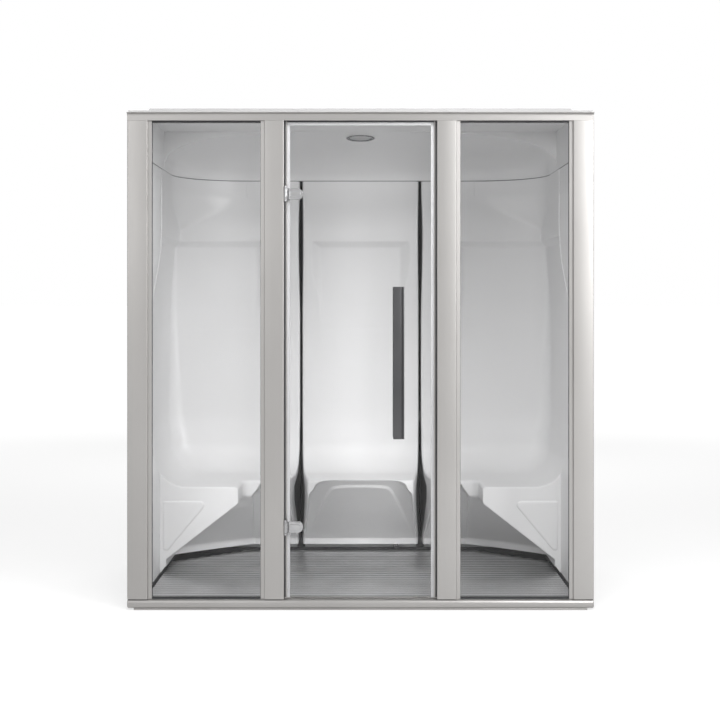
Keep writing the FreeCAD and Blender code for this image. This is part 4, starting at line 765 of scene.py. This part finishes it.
# The middle module: profile rows carried across, with the recess above the seat
# and the heel space and leg panel below it, then an edge and a cheek each side.
def buildCentreModule():
    half = seam["line"] - seam["gap"]
    u = stretches(centre["stops"], centre["counts"]) / centre["stops"][-1]
    across = np.concatenate([-u[:0:-1], u]) * (half - seamSpread(columnReach))
    sunk = recessedReach(columnHeight, np.abs(across) - recess["half"])
    cut = heelSpace(columnReach, columnHeight, legCut["half"] - np.abs(across))
    under = (columnHeight < legPanel["below"]) & ~columnIsBack
    rise = np.where(under, panelRise(across, columnHeight), 0) * math.sqrt(0.5)  # on a 45 degree slope
    reach, height = np.where(columnIsBack, sunk, cut) + rise, columnHeight - rise
    endReach, endHeight, past = seamColumns()
    endAcross = half - seamSpread(endReach, past)
    grid = surface(np.concatenate([-endAcross[:, ::-1], across, endAcross], 1),
                   rearWall - np.concatenate([endReach[:, ::-1], reach, endReach], 1),
                   np.concatenate([endHeight[:, ::-1], height, endHeight], 1))
    makePiece("centreModule", [gridPatch(grid)], "mouldedAcrylic", "moulding",
              replaces=["centre_module"], towards=roomMiddle, thick=wall["gauge"])


lining = {"gap": 0.3, "startBack": 3, "startSeat": 8, "blend": 200, "columns": 6, "thick": 0.1}


# Dark sheet in the seams, folded into a V between the two cheeks and drawn as sealant; its near-black is
# painted shade for the deep groove. It starts near the face beside the backrests and deeper down at the
# seat.
def buildSeamLinings():
    ends = seamColumns()
    columns = np.arange(ends[0].shape[1])
    backEnd = rowLength[backCount - 1]
    start = np.interp(rowLength, [backEnd, backEnd + lining["blend"]],
                      [lining["startBack"], lining["startSeat"]])[:, None]
    spots = start + (columns[-1] - start) * np.linspace(0, 1, lining["columns"])
    reach, height, past = [np.stack([np.interp(spot, columns, row) for spot, row in zip(spots, values)])
                           for values in ends]
    reach = np.maximum(reach, wall["flange"])
    apart = lining["gap"] + seamSpread(reach, past)
    x = np.concatenate([seam["line"] - apart, (seam["line"] + apart)[:, ::-1]], 1)
    reach, height = [np.concatenate([half, half[:, ::-1]], 1) for half in (reach, height)]
    right = [gridPatch(surface(x, rearWall - reach, height))]
    # painted shade: the linings' near-black finish darkens the deep V of each seam
    makePair("SeamShadeLining", mirrored(right), "seamSealant", "gaskets", towards=farInFront,
             thick=lining["thick"])


# a corner with a fullness of 0.5523 is a quarter circle
corner = {"round": 340, "tip": 8, "waist": 70, "waistTop": 40, "cove": 95, "lip": 45, "toeBack": 362,
          "toeSide": 285, "frontEdge": 6, "frontFace": -65, "frontDeep": 16, "archStart": 360,
          "archEnd": 506, "archSoft": 20, "fineBack": (-500, -575), "fineSide": 20,
          "full": 0.5523, "lipFull": 0.55, "toeFull": 0.08, "turnTop": 0.75, "turnPower": 1.3,
          "underLip": 12, "endTurns": 5, "endCheeks": 8, "endBack": -4}
# columns of the back run before, along and past its fine stretch, of the corner, and of the side run
cornerCounts = {"near": 8, "fine": 20, "far": 10, "turn": 26, "sideNear": 14, "sideFine": 22}
endPanel = {"corners": [(54, 377), (272, 377), (80, 146), (54, 146)], "radii": [14, 22, 10, 10],
            "rise": 4.5, "edge": 9, "rings": 8, "start": 0.2, "sunk": 3}
endFoot = {"corners": [(14, 46.5), (46, 46.5), (69.5, 80), (69.5, 110), (14, 110)], "back": -30}


# Legs of the corner's curve along both walls, and how full it is, for each row:
# wide at the ceiling, tight at the shoulder, and cut back slantwise at the toe.
def cornerLegs():
    up = (rowHeight - wall["shoulder"]) / (wall["top"] - wall["shoulder"])
    turned = np.sin(np.clip(up / corner["turnTop"], 0, 1) * math.pi / 2) ** corner["turnPower"]
    grown = corner["tip"] + (corner["round"] - corner["tip"]) * turned
    below = np.interp(rowHeight, [wall["seat"], wall["foot"], wall["waistLow"], wall["waistTop"],
                                  wall["shoulder"]],
                      [corner["cove"], corner["cove"], corner["waist"], corner["waistTop"], corner["tip"]])
    legs = np.where(rowHeight > wall["shoulder"], grown, below)
    coveEnd = wall["footReach"] + wall["cove"]
    inwards = np.clip((rowReach - coveEnd) / (wall["reach"] - coveEnd), 0, 1)
    seat = (rowReach > coveEnd) & ~isBack
    legs = np.where(seat, corner["cove"] + (corner["lip"] - corner["cove"]) * inwards, legs)
    under = ~isBack & (rowHeight < wall["lip"] + corner["underLip"])
    down = np.clip((wall["lip"] - rowHeight) / (wall["lip"] - wall["toeTop"]), 0, 1)
    back, side = [np.where(under, corner["lip"] + (corner[toe] - corner["lip"]) * down, legs)
                  for toe in ("toeBack", "toeSide")]
    toe = corner["lipFull"] + (corner["toeFull"] - corner["lipFull"]) * ramp(down * 4)
    full = np.where(under, toe, corner["full"])
    return back[:, None], side[:, None], full[:, None]


# The raised panel on a bench's end face: its outline drawn in as it rises on a
# smooth ramp, then capped.
def endPanelPatches():
    loop = roundedLoop([(reach - sideWall, z) for reach, z in endPanel["corners"]], endPanel["radii"], 8)
    share = np.linspace(0, 1, endPanel["rings"])
    insets, rises = endPanel["edge"] * share, endPanel["rise"] * ramp(share)
    start = corner["frontFace"] + endPanel["start"]
    rings = [standing(loop, "y", corner["frontFace"] + endPanel["sunk"])]
    rings += [standing(insetLoop(loop, inset), "y", start - rise) for inset, rise in zip(insets, rises)]
    return [gridPatch(np.stack(rings), True), capPatch([rings[-1]]), capPatch([rings[0]])]


# The left corner: profile rows carried from the seam along the back wall, round
# the corner on a cubic curve, and forward along the side wall to its end face.
def cornerPatch():
    count = len(rows)
    legBack, legSide, full = cornerLegs()
    above = columnHeight > wall["shoulder"]
    sunk = np.where(columnIsBack, recessedReach(columnHeight, recess["deepIn"]), columnReach)
    sunkSide = np.where(above, wall["bulge"], sunk)
    seamX = -seam["line"] - seam["gap"]
    # cheek and edge beside the seam
    endReach, endHeight, past = seamColumns()
    cheek = surface(seamX - seamSpread(endReach, past), rearWall - endReach, endHeight)[:, ::-1]
    # back run
    faceX = seamX - seamSpread(columnReach)
    bendX = -sideWall + sunkSide + legBack
    near, far = corner["fineBack"]
    counts = cornerCounts
    x = np.concatenate([faceX + (near - faceX) * np.linspace(0, 1, counts["near"])[:-1],
                        np.broadcast_to(np.linspace(near, far, counts["fine"]), (count, counts["fine"])),
                        far + (bendX - far) * np.linspace(0, 1, counts["far"])[1:]], 1)
    x = np.where(columnIsBack, x, faceX + (bendX - faceX) * np.linspace(0, 1, x.shape[1]))
    inside = softMin(x + corner["archEnd"], -x - corner["archStart"], corner["archSoft"])
    reach = np.where(columnIsBack, recessedReach(columnHeight, x - recess["stop"]),
                     heelSpace(columnReach, columnHeight, inside))
    back = surface(x, rearWall - reach, columnHeight)
    # corner
    t = np.linspace(0, 1, counts["turn"])[1:-1]
    weights = ((1 - t) ** 3, 3 * (1 - t) ** 2 * t, 3 * (1 - t) * t ** 2, t ** 3)
    endX, startY = -sideWall + sunkSide, rearWall - sunk
    endY = startY - legSide
    stopsX = (bendX, bendX + (endX - bendX) * full, endX, endX)
    stopsY = (startY, startY, endY + (startY - endY) * full, endY)
    turned = surface(sum(stop * weight for stop, weight in zip(stopsX, weights)),
                     sum(stop * weight for stop, weight in zip(stopsY, weights)), columnHeight)
    # side run
    edge, front, fine = corner["frontEdge"], corner["frontFace"], corner["fineSide"]
    y = np.linspace(fine, front + edge, counts["sideFine"])
    y = np.concatenate([endY + (fine - endY) * np.linspace(0, 1, counts["sideNear"])[:-1],
                        np.broadcast_to(y, (count, len(y)))], 1)
    reach = np.where(columnIsBack, recessedReach(columnHeight, recess["front"] - y), columnReach)
    side = surface(-sideWall + np.where(above, wall["bulge"], reach), y, columnHeight)
    # front end
    face = np.where(above, wall["bulge"], columnReach)[:, 0]
    lean = np.where(above, [1.0, 0.0], rowNormal)
    tail = np.where(isBack, np.maximum(face - corner["frontDeep"], wall["flange"]), corner["endBack"])
    endReach, endHeight, past = endColumns(edge, tail, corner["endTurns"], corner["endCheeks"], face, lean)
    end = surface(-sideWall + endReach, front + edge - past, endHeight)
    return gridPatch(np.concatenate([cheek, back, turned, side, end], 1))


# Both corners, and the raised panel and short foot on the end face of each.
def buildCornerModules():
    makePair("CornerModule", [cornerPatch()], "mouldedAcrylic", "moulding", "corner_module",
             towards=roomMiddle, thick=wall["gauge"])
    foot = roundedLoop([(reach - sideWall, z) for reach, z in endFoot["corners"]], 2, 3)
    start = corner["frontFace"] + endPanel["start"]
    panel = endPanelPatches() + extrusion([foot], "y", start, endFoot["back"], 0.8)
    makePair("EndPanel", panel, "mouldedAcrylic", "moulding")


liner = {"behind": 4, "gauge": 4, "reach": 42, "step": 517, "low": 46, "front": -564.5, "back": -65.5,
         "soft": 8, "fine": 440, "rows": [110, 30, 8], "columns": 9}


# Front wall liners: the backrest's line set back a little, then a step out to an upright foot.
def buildLiners():
    z = stretches([wall["top"], wall["foot"], liner["fine"], liner["low"]], liner["rows"])
    head = np.where(z > wall["shoulder"], wall["bulge"], backReach(z)) - liner["behind"]
    rate = (liner["reach"] - wall["footReach"] + liner["behind"]) / (wall["foot"] - liner["step"])
    step = wall["footReach"] - liner["behind"] + (wall["foot"] - z) * rate
    reach = np.where(z > wall["foot"], head, softMin(step, liner["reach"], liner["soft"]))
    y = np.linspace(liner["front"], liner["back"], liner["columns"])
    grid = surface((-sideWall + reach)[:, None], y, z[:, None])
    makePair("Liner", [gridPatch(grid)], "mouldedAcrylic", "moulding", "front_liner",
             towards=roomMiddle, thick=liner["gauge"])


buildCentreModule()
buildCornerModules()
buildSeamLinings()
buildLiners()
print("mouldings built")

# Ceiling and lamp

ceiling = {"half": 912, "base": 1898, "low": 1901, "flat": 2080, "front": -564.5, "arch": 15,
           "depth": 557, "round": 340, "gauge": 3.8, "steep": 0.72}


# Half dome: a rounded plan whose width and depth shrink with height, the width
# by a cubic law and the depth by a circular one, behind an upright spandrel; in
# front of that a cheek each side and a flat part.
def buildCeiling():
    half, depth, bendR = ceiling["half"], ceiling["depth"], ceiling["round"]
    flat, arch, steep = ceiling["flat"], ceiling["arch"], ceiling["steep"]
    rise = flat - ceiling["base"]
    narrow = np.linspace((1 - steep ** 3) ** (1 / 3), 0, 30)[1:]
    share = np.concatenate([np.linspace((ceiling["low"] - ceiling["base"]) / rise, steep, 18),
                            (1 - narrow ** 3) ** (1 / 3)])[:, None]
    wide, deep = (1 - share ** 3) ** (1 / 3), np.sqrt(1 - share ** 2)
    z = ceiling["base"] + rise * share
    turn = np.linspace(0, math.pi / 2, 24)[1:-1]
    planX = np.concatenate([np.full(9, half), half - bendR + bendR * np.cos(turn),
                            np.linspace(half - bendR, 0, 16)])
    planY = np.concatenate([np.linspace(0, depth - bendR, 9), depth - bendR + bendR * np.sin(turn),
                            np.full(16, depth)])
    planX, planY = np.concatenate([planX, -planX[-2::-1]]), np.concatenate([planY, planY[-2::-1]])
    patches = [gridPatch(surface(planX * wide, arch + planY * deep, z))]
    up = np.linspace(0, 1, 7)
    y = np.linspace(ceiling["front"], arch, 12)[:, None]
    for side in (-1, 1):
        x = side * half * wide
        spandrel = surface(x, arch, z + (flat - z) * up)
        cheek = surface(x[0], y, z[0] + (flat - z[0]) * up)
        level = surface(x[:, 0], y, flat)
        patches += [gridPatch(grid) for grid in (spandrel, cheek, level)]
    makePiece("ceilingDome", patches, "mouldedAcrylic", "moulding", replaces=["ceiling_shell"],
              towards=roomMiddle, thick=ceiling["gauge"])


lamp = {"y": 175, "radius": 68, "inner": 60, "boss": 4, "sunk": -6, "soft": 0.6,
        "rim": [(52.2, -3.8), (52.2, 0.4), (53.2, 1.2), (56, 1.5), (58.5, 2.8), (61, 3), (65.6, 2.8),
                (67.2, 1.9), (67.8, 0.8), (67.8, 0.05), (59.6, 0.05), (59.2, -3.8)],
        "lens": [(0.0, 1.0), (18, 0.95), (34, 0.75), (46, 0.4), (51, 0.1), (52, -0.5), (52, -2.6),
                 (50, -3), (0.0, -3)]}


# The lamp's seat on the dome and the way it faces: on an ellipse from the
# spandrel to the rear wall, square to its slope.
def lampSeat():
    deep, rise = rearWall - ceiling["arch"], ceiling["flat"] - ceiling["base"]
    run = (lamp["y"] - ceiling["arch"]) / deep
    height = math.sqrt(1 - run ** 2)
    tilt = math.atan(rise * run / height / deep)
    down = np.array([0, -math.sin(tilt), -math.cos(tilt)])
    return np.array([0, lamp["y"], ceiling["base"] + rise * height]) + down * lamp["boss"], down


# Boss, rim and lens, each a profile turned about the lamp's own axis.
def buildLamp():
    seat, down = lampSeat()
    inner, radius, sunk, soft = (lamp[key] for key in ("inner", "radius", "sunk", "soft"))
    boss = [(inner, sunk), (radius, sunk), (radius, -soft), (radius - soft, 0), (inner, 0)]
    makePiece("lampBoss", lathe(boss, seat, down, 96, True), "mouldedAcrylic", "moulding")
    makePiece("lampRim", lathe(lamp["rim"], seat, down, 96, True), "lampRim", "lamp_metal",
              replaces=["lamp_bezel"])
    makePiece("lampLens", lathe(lamp["lens"], seat, down, 96), "lampLens", "lamp_glass",
              replaces=["lamp_lens"])
    dress("darkPlastic", "lamp_driver", "cable_gland")


buildCeiling()
buildLamp()
dress("seamSealant", "ceiling_seal", "left_seam_plate", "right_seam_plate")
print("ceiling and lamp built")

# Floor grille, tray and services

grille = {"half": 903, "backHalf": 526, "front": -559, "pitch": 41.6, "width": 32, "low": 30,
          "high": 44, "count": 26, "turn": 222, "back": 543, "crown": 2.5}


# A slat's loop run across the floor and cut along the diagonals: its length follows
# the outline at every point of its width.
def slatPatches(loop):
    rate = (grille["half"] - grille["backHalf"]) / (grille["back"] - grille["turn"])
    patches = extrusion([loop], "x", -1, 1)
    for spots, _ in patches:
        spots[:, 0] *= grille["half"] - rate * np.maximum(0, spots[:, 1] - grille["turn"])
    return patches


# Crowned aluminium slats, each on a near-black lower part whose dark rubber finish is painted shade,
# standing in for the shade in the gaps between the slats.
def buildGrille():
    crowns, shadeBodies = [], []
    across = np.linspace(0, grille["width"], 11)
    crown = grille["high"] - grille["crown"] * (2 * across / grille["width"] - 1) ** 2
    brow = grille["high"] - grille["crown"] - 0.1
    for number in range(grille["count"]):
        y = grille["front"] + number * grille["pitch"]
        far = y + grille["width"]
        top = np.stack([y + across, crown], 1)[::-1]
        crowns += slatPatches(np.concatenate([[(y, brow), (far, brow)], top]))
        shadeBodies += slatPatches(np.array([(y, grille["low"]), (far, grille["low"]), (far, brow), (y, brow)]))
    makePiece("grilleSlats", crowns, "slatAluminium", "slats", replaces=["grille_slats"])
    # painted shade: the slats' lower parts are near-black to darken the gaps between the slats
    makePiece("slatShadeBodies", shadeBodies, "gasketRubber", "gaskets")


buildGrille()
dress("trayAcrylic", "floor_tray", "grille_bearers")
dress("drainSteel", "drain_fitting", "drain_grate")
dress("darkPlastic", "steam_pipe", "steam_head")
dress("coatedSheet", "left_side_panel", "right_side_panel", "back_panel")
dress("roofSheet", "roof_panel")
dress("frameUpright", "left_rear_post", "right_rear_post")
dress("frameLevel", "lower_rear_rail", "upper_rear_rail")


fixing = {"radius": 4.5, "rise": 2.4, "rear": 621, "rowX": (-880, -440, 0, 440, 880),
          "rowZ": (23, 2065), "columnX": (-925, 925), "columnZ": (180, 560, 940, 1320, 1700),
          "roof": 2092, "roofX": (-935, 935), "roofY": (-520, -180, 160, 500)}


# Pan-head screws: a low dome with a small socket, turned about its axis.
def screws(spots, axis):
    shares = [(1, 0), (1, 0.35), (0.86, 0.7), (0.55, 0.93), (0.3, 1), (0.28, 0.55), (0, 0.5)]
    profile = [(fixing["radius"] * wide, fixing["rise"] * high) for wide, high in shares]
    return [patch for spot in spots for patch in lathe(profile, spot, axis, 20)]


# Two rows and two columns on the back panel, and a column along each side of the roof.
def buildScrews():
    rear = [(x, fixing["rear"], z) for z in fixing["rowZ"] for x in fixing["rowX"]]
    rear += [(x, fixing["rear"], z) for x in fixing["columnX"] for z in fixing["columnZ"]]
    makePiece("rearScrews", screws(rear, (0, 1, 0)), "fixingSteel", "fixings")
    roof = [(x, y, fixing["roof"]) for x in fixing["roofX"] for y in fixing["roofY"]]
    makePiece("roofScrews", screws(roof, (0, 0, 1)), "fixingSteel", "fixings")


buildScrews()
print("grille, skins and screws built")

# Setting: camera, lamps, world and floor

view = {"distance": 5.635, "height": 1.288, "lens": 67.48, "shiftX": -0.0007, "shiftY": -0.0806}
# place, aim, size and power of each lamp, in metres and watts, and whether panes and
# metal may show it: some would leave a hard spot there
lamps = {
    "key": ((2.8, -4.3, 2.7), (0, 0, 1.2), (1.4, 3.0), 125, True),
    "side": ((-2.3, -4.8, 2.7), (0, 0, 1.2), (1.4, 3.0), 22, True),
    "top": ((0, -4.4, 4.3), (0, 0, 1.0), (3.0, 1.6), 95, False),
    "overhead": ((-0.4, -2.4, 4.0), (0, 0.1, 0.6), (2.2, 1.0), 40, False),
    "fill": ((-0.6, -7.4, 1.9), (0, 0, 1.0), (3.0, 2.0), 125, False),
    "rear": ((0, 4.5, 3.2), (0, 0, 1.0), (3.0, 2.0), 90, True),
}
studio = {"ambient": 0.17, "reach": 400, "floor": 0.45, "glowNear": 0.64, "glowFar": 0.91,
          "fadeFrom": 2.5, "fadeTo": 9, "pale": ("Is Camera Ray", "Is Glossy Ray", "Is Transmission Ray")}


# A level camera in front of the frame, with its picture shifted down to the cabin.
def setCamera():
    data = bpy.data.cameras.new("camera")
    data.lens, data.sensor_width = view["lens"], 36
    data.shift_x, data.shift_y = view["shiftX"], view["shiftY"]
    camera = bpy.data.objects.new("camera", data)
    camera.location = (0, frontFace * mm - view["distance"], view["height"])
    camera.rotation_euler = (math.pi / 2, 0, 0)
    scene.collection.objects.link(camera)
    scene.camera = camera


# Soft rectangular lamps, each turned to its aim.
def setLamps():
    for name, (place, aim, size, power, shown) in lamps.items():
        data = bpy.data.lights.new(name, "AREA")
        data.shape = "RECTANGLE"
        data.size, data.size_y = size
        data.energy = power
        light = bpy.data.objects.new(name, data)
        light.location = place
        light.rotation_euler = (Vector(aim) - Vector(place)).to_track_quat("-Z", "Y").to_euler()
        light.visible_camera = False
        light.visible_glossy = light.visible_transmission = shown
        scene.collection.objects.link(light)


# Dim light from all round, and a white backdrop where it is looked at.
def setWorld():
    world = bpy.data.worlds.new("studio")
    scene.world = world
    world.use_nodes = True
    tree = world.node_tree
    ambient = tree.nodes["Background"]
    setSockets(ambient, {"Color": (1, 1, 1, 1), "Strength": studio["ambient"]})
    shown = addNode(tree, "Background", {"Color": (1, 1, 1, 1), "Strength": 1})
    splitByRay(tree, studio["pale"], ambient, shown, "World Output")


# The studio floor: pale and matt, and its own glow grows with distance, where
# the lamps no longer reach it.
def setFloor():
    mesh = bpy.data.meshes.new("studioFloor")
    reach = studio["reach"]
    mesh.from_pydata([(-reach, -reach, 0), (reach, -reach, 0), (reach, reach, 0), (-reach, reach, 0)],
                     [], [(0, 1, 2, 3)])
    floor = bpy.data.objects.new("studioFloor", mesh)
    scene.collection.objects.link(floor)
    look = bpy.data.materials.new("paleFloor")
    look.use_nodes = True
    tree = look.node_tree
    shader = tree.nodes["Principled BSDF"]
    setSockets(shader, {"Base Color": (studio["floor"],) * 3 + (1,), "Roughness": 0.9,
                        "Specular IOR Level": 0.1})
    place = addNode(tree, "TexCoord")
    distance = addNode(tree, "VectorMath")
    distance.operation = "LENGTH"
    fade = addNode(tree, "MapRange")
    fade.interpolation_type = "SMOOTHSTEP"
    setSockets(fade, {"From Min": studio["fadeFrom"], "From Max": studio["fadeTo"],
                      "To Min": studio["glowNear"], "To Max": studio["glowFar"]})
    glow = addNode(tree, "Emission")
    both = addNode(tree, "AddShader")
    connect(tree, (place, "Object", distance, 0), (distance, "Value", fade, "Value"),
            (fade, "Result", glow, "Strength"), (shader, 0, both, 0), (glow, 0, both, 1))
    splitByRay(tree, studio["pale"], shader, both, "Material Output")
    mesh.materials.append(look)


setCamera()
setLamps()
setWorld()
setFloor()
scene.view_settings.view_transform = "Standard"
print("setting made")
